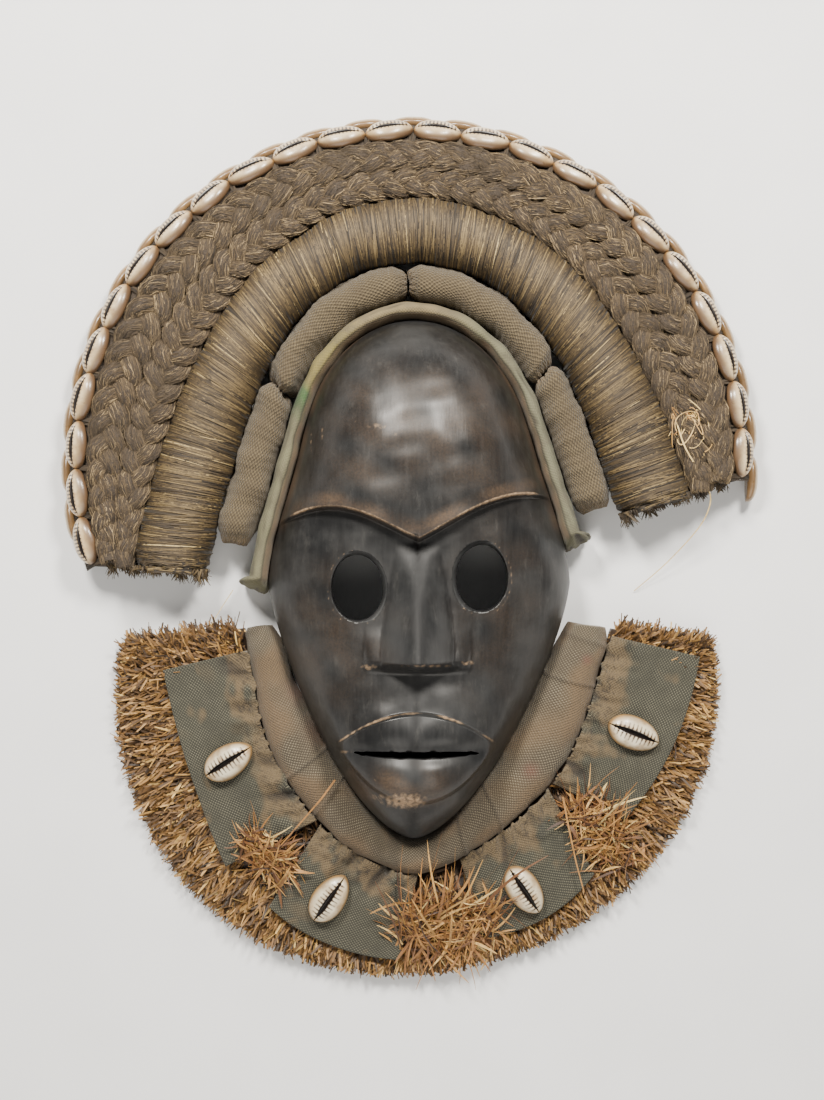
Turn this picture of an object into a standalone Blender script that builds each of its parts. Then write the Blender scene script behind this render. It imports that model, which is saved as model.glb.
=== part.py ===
"""A carved wooden face mask with a fanned head-dress and a fringed collar, lying face up."""

import math
import random

import bmesh
import bpy
from mathutils import Matrix, Vector

for old in list(bpy.data.objects):
    bpy.data.objects.remove(old, do_unlink=True)

# Clearance between neighbouring pieces
GAP = 0.0003

# Wooden face, seen from the front: Y runs from chin to forehead
FACE_WIDEST_Y = -0.0162
FACE_HALF_WIDTH = 0.0712
FACE_UP = 0.1210
FACE_DOWN = 0.1193
FACE_TOP_Y = FACE_WIDEST_Y + FACE_UP
FACE_CHIN_Y = FACE_WIDEST_Y - FACE_DOWN
TEMPLE_Y = 0.0405
TEMPLE_REACH = 0.0286
TEMPLE_PINCH = 0.115
FACE_MIDDLE_X = 0.0010
FACE_SWAY = 0.0035
SWAY_Y = -0.0150
SWAY_REACH = 0.1100
FACE_EDGE_HEIGHT = 0.022
FOREHEAD_HEIGHT = 0.073
FOREHEAD_CREST_Y = 0.036
CHEEK_HEIGHT = 0.059
KEEL_FALL = 0.012
BROW_Y = 0.004
BROW_STEP = 0.0022
BROW_RISE_LEFT = 0.0142
BROW_RISE_RIGHT = 0.0200
BROW_SPREAD_LEFT = 0.040
BROW_SPREAD_RIGHT = 0.050

# Thickness of the wood at its sides, its edge, the forehead and the cheeks
FACE_WALL = 0.008
EDGE_WALL = 0.009
FOREHEAD_WALL = 0.013
CHEEK_WALL = 0.015
HOLLOW_CREST_Y = 0.030
HOLLOW_TURN_Y = 0.035
HOLLOW_TURN = 0.050

# Nose
NOSE_TOP_Y = 0.001
NOSE_TIP_Y = -0.0510
NOSE_LEFT = 0.0006
NOSE_UNDER = 0.0062
NOSE_RISE = 0.0245
NOSE_BRIDGE_HALF = 0.0085
NOSE_BODY_HALF = 0.0178
NOSTRIL_RISE = 0.0095
NOSTRIL_HALF = 0.0230
NOSTRIL_LENGTH = 0.0060

# Lips and the slit between them
MOUTH_Y = -0.0926
MOUTH_HALF = 0.0366
UPPER_LIP = 0.0190
LOWER_LIP = 0.0245
LIP_CORNER = 0.0035
LIP_CORNER_DROP = 0.0010
LIP_END = 0.0060
LIP_STEP = 0.0042
LIP_LEDGE = 0.0016
LIP_BEND = 0.0090
LOWER_ROLL = 0.0032
LOWER_ROLL_REACH = 0.0060
LOWER_ROLL_PLACE = 0.58
MUZZLE = 0.0105
MUZZLE_ACROSS = 0.026
MUZZLE_ALONG = 0.019
SLIT_HALF = 0.0280
SLIT_HEIGHT = 0.0028
SLIT_END = 0.0003
SLIT_DIP = 0.0035
SLIT_DIP_REACH = 0.0032
SLIT_DIP_END = 0.0140

# Eye holes
EYE_LEFT = (-0.0235, -0.0187)
EYE_RIGHT = (0.0326, -0.0142)
EYE_HALF_WIDTH = 0.0117
EYE_HALF_HEIGHT = 0.0149
EYE_BEVEL = 0.0016
EYE_BEVEL_DEPTH = 0.0040
CUT_BELOW = 0.005
CUT_ABOVE = 0.020

# Rolls between the face and the fan, first at the crown, then at the lower ends
INNER_START = 219.0
INNER_END = -25.5
BINDING_WIDTH = 0.0088
BINDING_HEIGHT = 0.0310
BINDING_TAIL = 0.0090
TAIL_PLACES = (0.35, 0.70)
TAIL_DROP = 0.0040
TAIL_FOLD = 0.0020
RIBBED_CROWN = 0.0178
RIBBED_SIDE = 0.0190
RIBBED_HEIGHT = 0.0295
RIBBED_JOINTS = (0.030, 0.268, 0.529, 0.778, 0.985)
RIBBED_SPACE = 0.02
RIBBED_END = ((0.0, 0.55), (0.14, 0.88), (0.40, 1.0))
WRAPPED_CROWN = 0.0300
WRAPPED_SIDE = 0.0345
WRAPPED_HEIGHT = 0.0350
WRAPPED_END = 0.90

# Fan, an arc of a circle round the crown with one shell to each straight side
FAN_CENTRE = Vector((0.0, 0.0385))
FAN_START = 197.5
FAN_END = -2.2
FAN_SIDES = 24
PLAIT_BAND = 0.0250
FAN_BEVEL = 0.0100
FAN_EDGE_HEIGHT = 0.0140
FAN_HEIGHT = 0.0215
PLAIT_RISE = 0.0032
PLAIT_LUMP = 0.0012
CROWN_BANDS = BINDING_WIDTH + RIBBED_CROWN + WRAPPED_CROWN + PLAIT_BAND + 4.0 * GAP
FAN_RADIUS = FACE_TOP_Y - FAN_CENTRE.y + CROWN_BANDS + FAN_BEVEL

# Cowrie shells
SHELL_WIDTH = 0.0130
SHELL_THICK = 0.0066
SHELL_SPACE = 0.0006
RIM_SHELL_WIDTH = 0.0126
RIM_SHELL_THICK = 0.0052
COLLAR_SHELL = (0.0256, 0.0156, 0.0070)

# Collar round the jaw, an arc of an ellipse that bulges at its lower left
COLLAR_CENTRE = Vector((0.0035, -0.0715))
COLLAR_HALF_WIDTH = 0.1400
COLLAR_HALF_LENGTH = 0.1235
COLLAR_START = 168.0
COLLAR_END = 372.0
COLLAR_BULGE = 0.065
BULGE_AT = 245.0
BULGE_REACH = 28.0
JAW_START = 151.7
JAW_END = 388.5
COLLAR_SIDES = 24
COLLAR_ROLL_HEIGHT = 0.0240
COLLAR_ROLL_END = 0.62
# Width of the padded roll at places along the collar
COLLAR_ROLL = (
    (0.0, 0.0165), (0.18, 0.0242), (0.31, 0.0242), (0.48, 0.0180), (0.80, 0.0285), (1.0, 0.0248),
)
CANVAS_THICK = 0.0034
CANVAS_INNER = 0.0175
CANVAS_OUTER = 0.0125
# Each panel: where it starts and ends along the roll and along its outer edge, then how far
# the fringe shows past it at the start, the middle and the end
PANELS = (
    (0.025, 0.325, 0.040, 0.269, 0.0213, 0.0284, 0.0199),
    (0.337, 0.500, 0.345, 0.480, 0.0165, 0.0102, 0.0070),
    (0.565, 0.744, 0.570, 0.695, 0.0105, 0.0092, 0.0145),
    (0.760, 0.992, 0.780, 0.982, 0.0225, 0.0168, 0.0058),
)
# Each collar shell: its panel, its place along and across the panel, and the slit's direction
COLLAR_SHELLS = (
    (0, 0.516, 0.50, 33.0),
    (1, 0.374, 0.54, 55.0),
    (2, 0.417, 0.62, -56.0),
    (3, 0.504, 0.53, -22.0),
)
FRINGE_CREST = 0.0125
FRINGE_CREST_PLACE = 0.38
FRINGE_TIP = 0.0045
FRINGE_END = 0.0020
FRINGE_CLEAR = 0.0010
FRINGE_JAGS = (-0.0010, 0.0035)
FRINGE_UNEVEN = 0.0010
# Each tuft: its place along and across the collar, reach, extra reach and the way it leans
TUFTS = (
    (0.3070, 0.43, 0.0165, 0.0060, 60.0),
    (0.5320, 0.57, 0.0240, 0.0200, 95.0),
    (0.7460, 0.54, 0.0200, 0.0130, 62.0),
)
TUFT_STEM = 0.0035
TUFT_THICK = 0.0050
TUFT_BLADES = 11
TUFT_LIFT = 0.0006
TUFT_OVER_ROLL = 0.0050
TUFT_CROWN = 0.0060


# Small helpers

def blend(a, b, t):
    return a + (b - a) * t


def bell(value, reach):
    return math.exp(-0.5 * (value / reach) ** 2)


def ramp(value):
    value = min(max(value, 0.0), 1.0)
    return value * value * (3.0 - 2.0 * value)


def heading(degrees):
    return Vector((math.cos(math.radians(degrees)), math.sin(math.radians(degrees))))


def along(points, place):
    """The point at a fractional place in a list of points, on the straight line between two."""
    first = min(max(int(math.floor(place)), 0), len(points) - 2)
    return points[first].lerp(points[first + 1], place - first)


def material(name, colour, roughness, metallic=0.0):
    made = bpy.data.materials.new(name)
    made.use_nodes = True
    shader = made.node_tree.nodes["Principled BSDF"]
    shader.inputs["Base Color"].default_value = (*colour, 1.0)
    shader.inputs["Roughness"].default_value = roughness
    shader.inputs["Metallic"].default_value = metallic
    return made


def solid(name, points, faces, look):
    mesh = bpy.data.meshes.new(name)
    mesh.from_pydata([tuple(point) for point in points], [], faces)
    shape = bmesh.new()
    shape.from_mesh(mesh)
    bmesh.ops.recalc_face_normals(shape, faces=shape.faces)
    shape.to_mesh(mesh)
    shape.free()
    made = bpy.data.objects.new(name, mesh)
    bpy.context.collection.objects.link(made)
    if look:
        mesh.materials.append(look)
    return made


def loft(name, rings, look):
    """A closed body through rings of equally many points, flat at both ends."""
    count = len(rings[0])
    points = [point for ring in rings for point in ring]
    faces = [tuple(range(count)), tuple(range(len(points) - count, len(points)))]
    for ring in range(len(rings) - 1):
        for k in range(count):
            after = (k + 1) % count
            low = ring * count
            high = low + count
            faces.append((low + k, low + after, high + after, high + k))
    return solid(name, points, faces, look)


def prism(name, plan, low, high, look):
    """An upright block over a plan outline, from one height to another at each point."""
    bottom = [Vector((p.x, p.y, low(p))) for p in plan]
    top = [Vector((p.x, p.y, high(p))) for p in plan]
    return loft(name, [bottom, top], look)


def round_section(sides, squareness):
    """(across, up) from 0 to 1 round a roll with a flat underside."""
    found = []
    for k in range(sides):
        angle = math.radians(-90.0 - 180.0 / sides + 360.0 * k / sides)
        c = math.cos(angle)
        s = math.sin(angle)
        c = math.copysign(abs(c) ** squareness, c)
        s = math.copysign(abs(s) ** squareness, s)
        found.append((c, s))
    wide = max(c for c, s in found)
    tall = max(s for c, s in found)
    return [(0.5 + 0.5 * c / wide, 0.5 + 0.5 * s / tall) for c, s in found]


# Outline of the face

def face_middle(y):
    return FACE_MIDDLE_X + FACE_SWAY * math.exp(-(((y - SWAY_Y) / SWAY_REACH) ** 2))


def face_half(y):
    above = min(max((y - FACE_WIDEST_Y) / FACE_UP, 0.0), 1.0)
    below = min(max((FACE_WIDEST_Y - y) / FACE_DOWN, 0.0), 1.0)
    pinch = 1.0 - TEMPLE_PINCH * bell(y - TEMPLE_Y, TEMPLE_REACH)
    return FACE_HALF_WIDTH * math.sqrt(1.0 - above ** 2) * (1.0 - below ** 1.2) ** 0.60 * pinch


def face_edge(centre, degrees):
    """Where a line from the centre leaves the face."""
    near = 0.0
    far = 0.25
    way = heading(degrees)
    for _ in range(40):
        middle = (near + far) / 2.0
        point = centre + way * middle
        inside = FACE_CHIN_Y < point.y < FACE_TOP_Y
        if inside and abs(point.x - face_middle(point.y)) < face_half(point.y):
            near = middle
        else:
            far = middle
    return centre + way * near


# Stations that the head-dress and the collar share with the face

def fan_corner(place):
    return FAN_CENTRE + heading(blend(FAN_START, FAN_END, place / FAN_SIDES)) * FAN_RADIUS


def crown_foot(place):
    return face_edge(FAN_CENTRE, blend(INNER_START, INNER_END, place / FAN_SIDES))


def sideways(place):
    """0 at the crown and 1 at the lower ends."""
    t = min(max(place / FAN_SIDES, 0.0), 1.0)
    return math.sin(math.pi * (t - 0.5)) ** 2


def crown_point(place, distance):
    foot = crown_foot(place)
    return foot + (fan_corner(place) - foot).normalized() * distance


def crown_places():
    """The shared stations, and two more past each end for the tails of the binding."""
    before = [-past for past in reversed(TAIL_PLACES)]
    return before + list(range(FAN_SIDES + 1)) + [FAN_SIDES + past for past in TAIL_PLACES]


def crown_line(distance):
    return [crown_point(i, distance(i)) for i in range(FAN_SIDES + 1)]


def binding_out(i):
    return GAP + BINDING_WIDTH


def ribbed_out(i):
    return binding_out(i) + GAP + blend(RIBBED_CROWN, RIBBED_SIDE, sideways(i))


def wrapped_out(i):
    return ribbed_out(i) + GAP + blend(WRAPPED_CROWN, WRAPPED_SIDE, sideways(i))


def collar_rim(place):
    degrees = blend(COLLAR_START, COLLAR_END, place / COLLAR_SIDES)
    way = heading(degrees) * (1.0 + COLLAR_BULGE * bell(degrees - BULGE_AT, BULGE_REACH))
    return COLLAR_CENTRE + Vector((way.x * COLLAR_HALF_WIDTH, way.y * COLLAR_HALF_LENGTH))


def jaw_foot(place):
    return face_edge(COLLAR_CENTRE, blend(JAW_START, JAW_END, place / COLLAR_SIDES))


def roll_out(place):
    """How far the padded roll reaches from the jaw."""
    t = place / COLLAR_SIDES
    for (a, first), (b, last) in zip(COLLAR_ROLL, COLLAR_ROLL[1:]):
        if t <= b:
            break
    return GAP + blend(first, last, ramp((t - a) / (b - a)))


def collar_line(distance):
    """Points a distance out from the jaw towards the rim."""
    found = []
    for i in range(COLLAR_SIDES + 1):
        foot = jaw_foot(i)
        found.append(foot + (collar_rim(i) - foot).normalized() * distance(i))
    return found


def outside_roll():
    return collar_line(lambda i: roll_out(i) + GAP)


# Wooden face

def face_border():
    """Left and right edges from chin to crown, as straight runs between the shared stations."""
    upper = [crown_foot(place) for place in crown_places()]
    lower = [jaw_foot(i) for i in range(COLLAR_SIDES + 1)]
    top = max(range(len(upper)), key=lambda i: upper[i].y)
    low = min(range(len(lower)), key=lambda i: lower[i].y)
    left = sorted(lower[: low + 1] + upper[: top + 1], key=lambda p: p.y)
    right = sorted(lower[low:] + upper[top:], key=lambda p: p.y)
    return left, right


def edge_x(border, y):
    for a, b in zip(border, border[1:]):
        if y <= b.y:
            return blend(a.x, b.x, min(max((y - a.y) / max(b.y - a.y, 1e-9), 0.0), 1.0))
    return border[-1].x


def brow_line(x):
    away = x - face_middle(BROW_Y)
    if away < 0.0:
        t = min(-away / BROW_SPREAD_LEFT, 1.6)
        return BROW_Y + BROW_RISE_LEFT * math.sin(t * math.pi / 2) ** 1.2
    t = min(away / BROW_SPREAD_RIGHT, 1.6)
    return BROW_Y + BROW_RISE_RIGHT * math.sin(t * math.pi / 2) ** 1.1


def lip_spread(x):
    """0 at the middle of the mouth and 1 at its corners."""
    return min(((x - face_middle(MOUTH_Y)) / MOUTH_HALF) ** 2, 1.6)


def lip_top(x):
    return MOUTH_Y + UPPER_LIP - (UPPER_LIP - LIP_CORNER) * lip_spread(x)


def lip_bottom(x):
    return MOUTH_Y - LOWER_LIP + (LOWER_LIP + LIP_CORNER_DROP) * lip_spread(x)


def forehead(y, side):
    t = (y - FOREHEAD_CREST_Y) / (FACE_TOP_Y - FOREHEAD_CREST_Y)
    if t < 0.0:
        t *= 0.55
    lift = (1.0 - min(abs(t), 1.0) ** 2.3) ** 0.6 * (1.0 - side ** 2.3) ** 0.6
    return FACE_EDGE_HEIGHT + (FOREHEAD_HEIGHT - FACE_EDGE_HEIGHT) * lift


def cheeks(y, side):
    down = min(max((BROW_Y - y) / (BROW_Y - FACE_CHIN_Y), 0.0), 1.0)
    keel = CHEEK_HEIGHT - KEEL_FALL * down
    lift = (1.0 - down ** 9) ** 0.7 * (1.0 - side ** 3.0) ** 0.72
    return FACE_EDGE_HEIGHT + (keel - FACE_EDGE_HEIGHT) * lift


def nose(x, y):
    t = (NOSE_TOP_Y - y) / (NOSE_TOP_Y - NOSE_TIP_Y)
    if t <= 0.0:
        return 0.0
    away = abs(x - face_middle(y) + NOSE_LEFT)
    under = 1.0 - ramp((NOSE_TIP_Y - y) / NOSE_UNDER)
    t = min(t, 1.0)
    half = blend(NOSE_BRIDGE_HALF, NOSE_BODY_HALF, t)
    ridge = NOSE_RISE * t ** 0.9 * max(1.0 - (away / half) ** 1.15, 0.0) ** 0.85
    wing = NOSTRIL_RISE * t ** 5 * max(1.0 - away / NOSTRIL_HALF, 0.0) ** 0.5
    return max(ridge, wing) * under


def mouth(x, y):
    away = abs(x - face_middle(MOUTH_Y))
    up = y - MOUTH_Y
    swell = MUZZLE * bell(away, MUZZLE_ACROSS) * bell(up, MUZZLE_ALONG)
    inside = ramp((lip_top(x) - y) / LIP_LEDGE) * ramp((y - lip_bottom(x)) / (2.0 * LIP_LEDGE))
    ends = ramp((MOUTH_HALF * 1.04 - away) / LIP_END)
    dip = SLIT_DIP * bell(up, SLIT_DIP_REACH) * ramp((MOUTH_HALF - away) / SLIT_DIP_END)
    full = bell(up + LOWER_ROLL_PLACE * LOWER_LIP, LOWER_ROLL_REACH)
    lower = LOWER_ROLL * full * ramp(1.0 - away / MOUTH_HALF)
    return swell + inside * ends * (LIP_STEP + lower) - dip


def face_height(x, y, side):
    """Height of the carved front; side is 0 on the middle line and 1 at the edge."""
    step = ramp((y - brow_line(x) + BROW_STEP) / BROW_STEP)
    base = blend(cheeks(y, side), forehead(y, side), step)
    fade = ramp((1.0 - side) / 0.25)
    return base + (nose(x, y) * (1.0 - step) + mouth(x, y)) * fade


def hollow_height(x, y, side):
    """Height of the smooth scooped back, well inside the front."""
    far = FACE_TOP_Y if y > HOLLOW_CREST_Y else FACE_CHIN_Y
    t = (y - HOLLOW_CREST_Y) / (far - HOLLOW_CREST_Y)
    lift = (1.0 - min(t, 1.0) ** 2.4) ** 0.6 * (1.0 - side ** 2.6) ** 0.6
    down = ramp((HOLLOW_TURN_Y - y) / HOLLOW_TURN)
    top = blend(FOREHEAD_HEIGHT - FOREHEAD_WALL, CHEEK_HEIGHT - CHEEK_WALL, down)
    low = FACE_EDGE_HEIGHT - EDGE_WALL
    return low + (top - low) * lift


def face_rows():
    """(start, brow share, upper lip share, lower lip share) of each row, chin to crown."""
    under = MOUTH_Y - LOWER_LIP
    over = MOUTH_Y + UPPER_LIP
    nose_foot = NOSE_TIP_Y - NOSE_UNDER
    nostril = NOSE_TIP_Y + NOSTRIL_LENGTH
    rows = [(FACE_CHIN_Y, 0, 0, 0)]
    for t, lower in ((0.065, 0), (0.25, 0), (0.55, 0.3)):
        rows.append((blend(FACE_CHIN_Y, under, t), 0, 0, lower))
    rows += [(under, 0, 0, 1), (under + 2.0 * LIP_LEDGE, 0, 0, 0.9)]
    rows += [(MOUTH_Y - LOWER_ROLL_PLACE * LOWER_LIP, 0, 0, 0.4)]
    rows += [(MOUTH_Y - 0.28 * LOWER_LIP, 0, 0, 0.1)]
    rows += [(MOUTH_Y, 0, 0, 0), (MOUTH_Y + 0.22 * UPPER_LIP, 0, 0.1, 0)]
    rows += [(MOUTH_Y + 0.55 * UPPER_LIP, 0, 0.5, 0), (over - LIP_LEDGE, 0, 1, 0), (over, 0, 1, 0)]
    rows += [(blend(over, nose_foot, 0.36), 0, 0.5, 0), (nose_foot, 0, 0, 0)]
    rows += [(blend(NOSE_TIP_Y, nose_foot, 0.5), 0, 0, 0), (NOSE_TIP_Y, 0, 0, 0), (nostril, 0, 0, 0)]
    for k in range(1, 5):
        rows.append((blend(nostril, BROW_Y - BROW_STEP, k / 5.0), 0.9 * k / 5.0, 0, 0))
    rows += [(BROW_Y - BROW_STEP, 1, 0, 0), (BROW_Y, 1, 0, 0)]
    for k in (0.10, 0.24, 0.39, 0.54, 0.68, 0.81, 0.91, 0.97):
        rows.append((blend(BROW_Y, FACE_TOP_Y, k), 1.0 - ramp(k / 0.6), 0, 0))
    rows.append((FACE_TOP_Y, 0, 0, 0))
    return rows


FACE_COLUMNS = (0.055, 0.115, 0.18, 0.25, 0.33, 0.43, 0.55, 0.68, 0.81, 0.93, 1.0)
HOLLOW_COLUMNS = (0.50, 0.88, 1.0)


def columns(positive):
    return [-u for u in reversed(positive)] + [0.0] + list(positive)


def face_grid(shares, inset, height):
    """Rows of points over the face, or over its hollow where inset by the wall."""
    left, right = face_border()
    low = left[0].y
    high = left[-1].y
    centre = (low + high) / 2.0
    squeeze = 1.0 - 2.0 * inset / (high - low)
    grid = []
    for start, brow, upper, lower in face_rows():
        row = []
        for u in columns(shares):
            y = min(max(start, low), high)
            for _ in range(5):
                a = edge_x(left, y)
                b = edge_x(right, y)
                x = blend(a, b, (u + 1.0) / 2.0)
                y = start + brow * (brow_line(x) - BROW_Y)
                y += upper * max(lip_top(x) - MOUTH_Y - UPPER_LIP, -LIP_BEND)
                y += lower * min(lip_bottom(x) - MOUTH_Y + LOWER_LIP, LIP_BEND)
                y = min(max(y, low), high)
            a = edge_x(left, y)
            b = edge_x(right, y)
            x = blend(a, b, (u + 1.0) / 2.0)
            half = max((b - a) / 2.0, 1e-6)
            x = (a + b) / 2.0 + (x - (a + b) / 2.0) * max(1.0 - inset / half, 0.02)
            row.append(Vector((x, centre + (y - centre) * squeeze, height(x, y, abs(u)))))
        grid.append(row)
    return grid


def face_shell():
    """Front and hollow back as two grids, closed by walls and a flat rim at the back."""
    front = face_grid(FACE_COLUMNS, 0.0, face_height)
    back = face_grid(HOLLOW_COLUMNS, FACE_WALL, hollow_height)
    points = []
    faces = []

    def store(point):
        points.append(point)
        return len(points) - 1

    def sheet(grid):
        rows = []
        for number, row in enumerate(grid):
            if number in (0, len(grid) - 1):
                rows.append([store(row[len(row) // 2])] * len(row))
            else:
                rows.append([store(point) for point in row])
        for a, b in zip(rows, rows[1:]):
            for k in range(len(a) - 1):
                corner = [a[k], a[k + 1], b[k + 1], b[k]]
                faces.append(tuple(dict.fromkeys(corner)))
        loop = [row[0] for row in rows] + [row[-1] for row in reversed(rows[1:-1])]
        return loop

    outer = sheet(front)
    inner = sheet(back)
    foot_out = [store(Vector((points[k].x, points[k].y, 0.0))) for k in outer]
    foot_in = [store(Vector((points[k].x, points[k].y, 0.0))) for k in inner]
    count = len(outer)
    for k in range(count):
        after = (k + 1) % count
        faces.append((outer[k], outer[after], foot_out[after], foot_out[k]))
        faces.append((foot_out[k], foot_out[after], foot_in[after], foot_in[k]))
        faces.append((foot_in[k], foot_in[after], inner[after], inner[k]))
    return points, faces


def oval(centre, half_width, half_height, z, sides):
    found = []
    for k in range(sides):
        way = heading(360.0 * k / sides)
        found.append(Vector((centre[0] + way.x * half_width, centre[1] + way.y * half_height, z)))
    return found


def cut(target, cutter):
    cutter.hide_render = True
    cutter.display_type = "WIRE"
    step = target.modifiers.new(cutter.name, "BOOLEAN")
    step.operation = "DIFFERENCE"
    step.solver = "EXACT"
    step.object = cutter


def eye_cutter(name, centre):
    """An oval shaft that widens where it meets the carved front."""
    x, y = centre
    surface = cheeks(y, abs(x - face_middle(y)) / face_half(y))
    rings = []
    levels = (
        (-CUT_BELOW, 0.0),
        (surface - 0.75 * EYE_BEVEL_DEPTH, 0.0),
        (surface + 0.25 * EYE_BEVEL_DEPTH, EYE_BEVEL),
        (FOREHEAD_HEIGHT + CUT_ABOVE, EYE_BEVEL),
    )
    for z, more in levels:
        rings.append(oval(centre, EYE_HALF_WIDTH + more, EYE_HALF_HEIGHT + more, z, 20))
    return loft(name, rings, None)


def slit_cutter():
    middle = face_middle(MOUTH_Y)
    upper = []
    lower = []
    for k in range(11):
        t = -1.0 + 2.0 * k / 10.0
        thick = SLIT_END + SLIT_HEIGHT / 2.0 * (1.0 - t * t) ** 0.6
        upper.append(Vector((middle + t * SLIT_HALF, MOUTH_Y + thick)))
        lower.append(Vector((middle + t * SLIT_HALF, MOUTH_Y - thick)))
    plan = upper + list(reversed(lower))
    top = CHEEK_HEIGHT + MUZZLE + NOSE_RISE + CUT_ABOVE
    return prism("mouth_cutter", plan, lambda p: -CUT_BELOW, lambda p: top, None)


def build_face():
    points, faces = face_shell()
    made = solid("face_mask", points, faces, material("dark_wood", (0.018, 0.012, 0.009), 0.30))
    cut(made, eye_cutter("eye_cutter_left", EYE_LEFT))
    cut(made, eye_cutter("eye_cutter_right", EYE_RIGHT))
    cut(made, slit_cutter())


# Rolls of the head-dress

def roll_ring(near, far, height, section, shrink=1.0):
    """One section of a roll between two plan points, drawn in towards its middle."""
    ring = []
    for across, up in section:
        t = 0.5 + (across - 0.5) * shrink
        p = near.lerp(far, t)
        ring.append(Vector((p.x, p.y, height * (0.5 + (up - 0.5) * shrink))))
    return ring


def build_binding():
    """Cloth band round the forehead, its ends folded outwards below the ribbed rolls."""
    look = material("green_cloth", (0.21, 0.22, 0.15), 0.9)
    section = round_section(8, 0.75)
    rings = []
    for place in crown_places():
        near = crown_point(place, GAP)
        far = crown_point(place, binding_out(place))
        past = max(-place, place - FAN_SIDES, 0.0)
        height = BINDING_HEIGHT * (1.0 - 0.45 * past)
        if past:
            out = math.copysign(1.0, far.x - near.x)
            last = crown_point(0 if out < 0 else FAN_SIDES, RIBBED_SIDE)
            far = Vector((near.x + out * (BINDING_WIDTH + BINDING_TAIL), near.y - GAP))
            far.y = min(far.y, last.y - TAIL_DROP)
            near.y = min(near.y, far.y + TAIL_FOLD)
        rings.append(roll_ring(near, far, height, section))
    return loft("green_binding", rings, look)


def build_ribbed():
    """Four stuffed cloth rolls end to end, each drawn in at its ends."""
    look = material("ribbed_cloth", (0.16, 0.125, 0.095), 0.92)
    near = crown_line(lambda i: binding_out(i) + GAP)
    far = crown_line(ribbed_out)
    section = round_section(10, 0.8)
    names = ("left_lower", "left_upper", "right_upper", "right_lower")
    for name, start, end in zip(names, RIBBED_JOINTS, RIBBED_JOINTS[1:]):
        a = start * FAN_SIDES + RIBBED_SPACE
        b = end * FAN_SIDES - RIBBED_SPACE
        reach = 1.5 * RIBBED_END[-1][0]
        inner = range(int(math.ceil(a + reach)), int(math.floor(b - reach)) + 1)
        places = [(a + past, shrink) for past, shrink in RIBBED_END]
        places += [(float(i), 1.0) for i in inner]
        places += [(b - past, shrink) for past, shrink in reversed(RIBBED_END)]
        rings = [
            roll_ring(along(near, p), along(far, p), RIBBED_HEIGHT, section, s) for p, s in places
        ]
        loft("ribbed_roll_" + name, rings, look)


def build_wrapped():
    look = material("wound_cord", (0.185, 0.135, 0.075), 0.85)
    near = crown_line(lambda i: ribbed_out(i) + GAP)
    far = crown_line(wrapped_out)
    section = round_section(10, 0.85)
    rings = []
    for place in range(FAN_SIDES + 1):
        shrink = WRAPPED_END if place in (0, FAN_SIDES) else 1.0
        swell = 1.0 + 0.012 * math.sin(place * 1.7)
        height = WRAPPED_HEIGHT * swell
        rings.append(roll_ring(along(near, place), along(far, place), height, section, shrink))
    loft("wrapped_roll", rings, look)


# Braided fan and its shells

def fan_shoulder(corner):
    return corner - (corner - FAN_CENTRE).normalized() * FAN_BEVEL


def build_fan():
    """Two plaits side by side, then a sloping border and an upright rim."""
    look = material("plaited_fibre", (0.085, 0.062, 0.042), 0.95)
    near = crown_line(lambda i: wrapped_out(i) + GAP)
    rim = [fan_corner(i) for i in range(FAN_SIDES + 1)]
    shoulder = [fan_shoulder(corner) for corner in rim]
    rings = []
    for j in range(2 * FAN_SIDES + 1):
        place = j / 2.0
        a = along(near, place)
        b = along(shoulder, place)
        c = along(rim, place)
        turn = 1.0 if j % 2 else -1.0
        ring = [Vector((a.x, a.y, 0.0)), Vector((a.x, a.y, FAN_HEIGHT))]
        for t, way in ((0.15, 1.0), (0.37, -1.0), (0.50, 0.0), (0.64, 1.0), (0.85, -1.0)):
            p = a.lerp(b, t)
            z = FAN_HEIGHT
            if way:
                z += PLAIT_RISE + PLAIT_LUMP * turn * way
            ring.append(Vector((p.x, p.y, z)))
        ring.append(Vector((b.x, b.y, FAN_HEIGHT)))
        ring.append(Vector((c.x, c.y, FAN_EDGE_HEIGHT)))
        ring.append(Vector((c.x, c.y, 0.0)))
        rings.append(ring)
    loft("braided_fan", rings, look)


SHELL_SECTION = (
    (-0.32, 0.0), (0.32, 0.0), (0.50, 0.36), (0.33, 0.86), (0.075, 1.0),
    (0.0, 0.70), (-0.075, 1.0), (-0.33, 0.86), (-0.50, 0.36),
)


def shell_rings(length, width, thick, stations):
    """Rings of a cowrie lying on its flat back, slit up, with its axis along X."""
    rings = []
    for where, wide, tall in stations:
        ring = []
        for across, up in SHELL_SECTION:
            ring.append(Vector((where * length, across * width * wide, GAP + up * thick * tall)))
        rings.append(ring)
    return rings


# (place along, share of the width, share of the thickness) of each section
SMALL_STATIONS = ((-0.5, 0.26, 0.50), (-0.22, 0.96, 1.0), (0.20, 0.90, 0.98), (0.5, 0.22, 0.46))
LARGE_STATIONS = (
    (-0.5, 0.22, 0.42), (-0.33, 0.78, 0.86), (-0.06, 1.0, 1.0), (0.26, 0.84, 0.92), (0.5, 0.20, 0.40),
)


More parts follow.
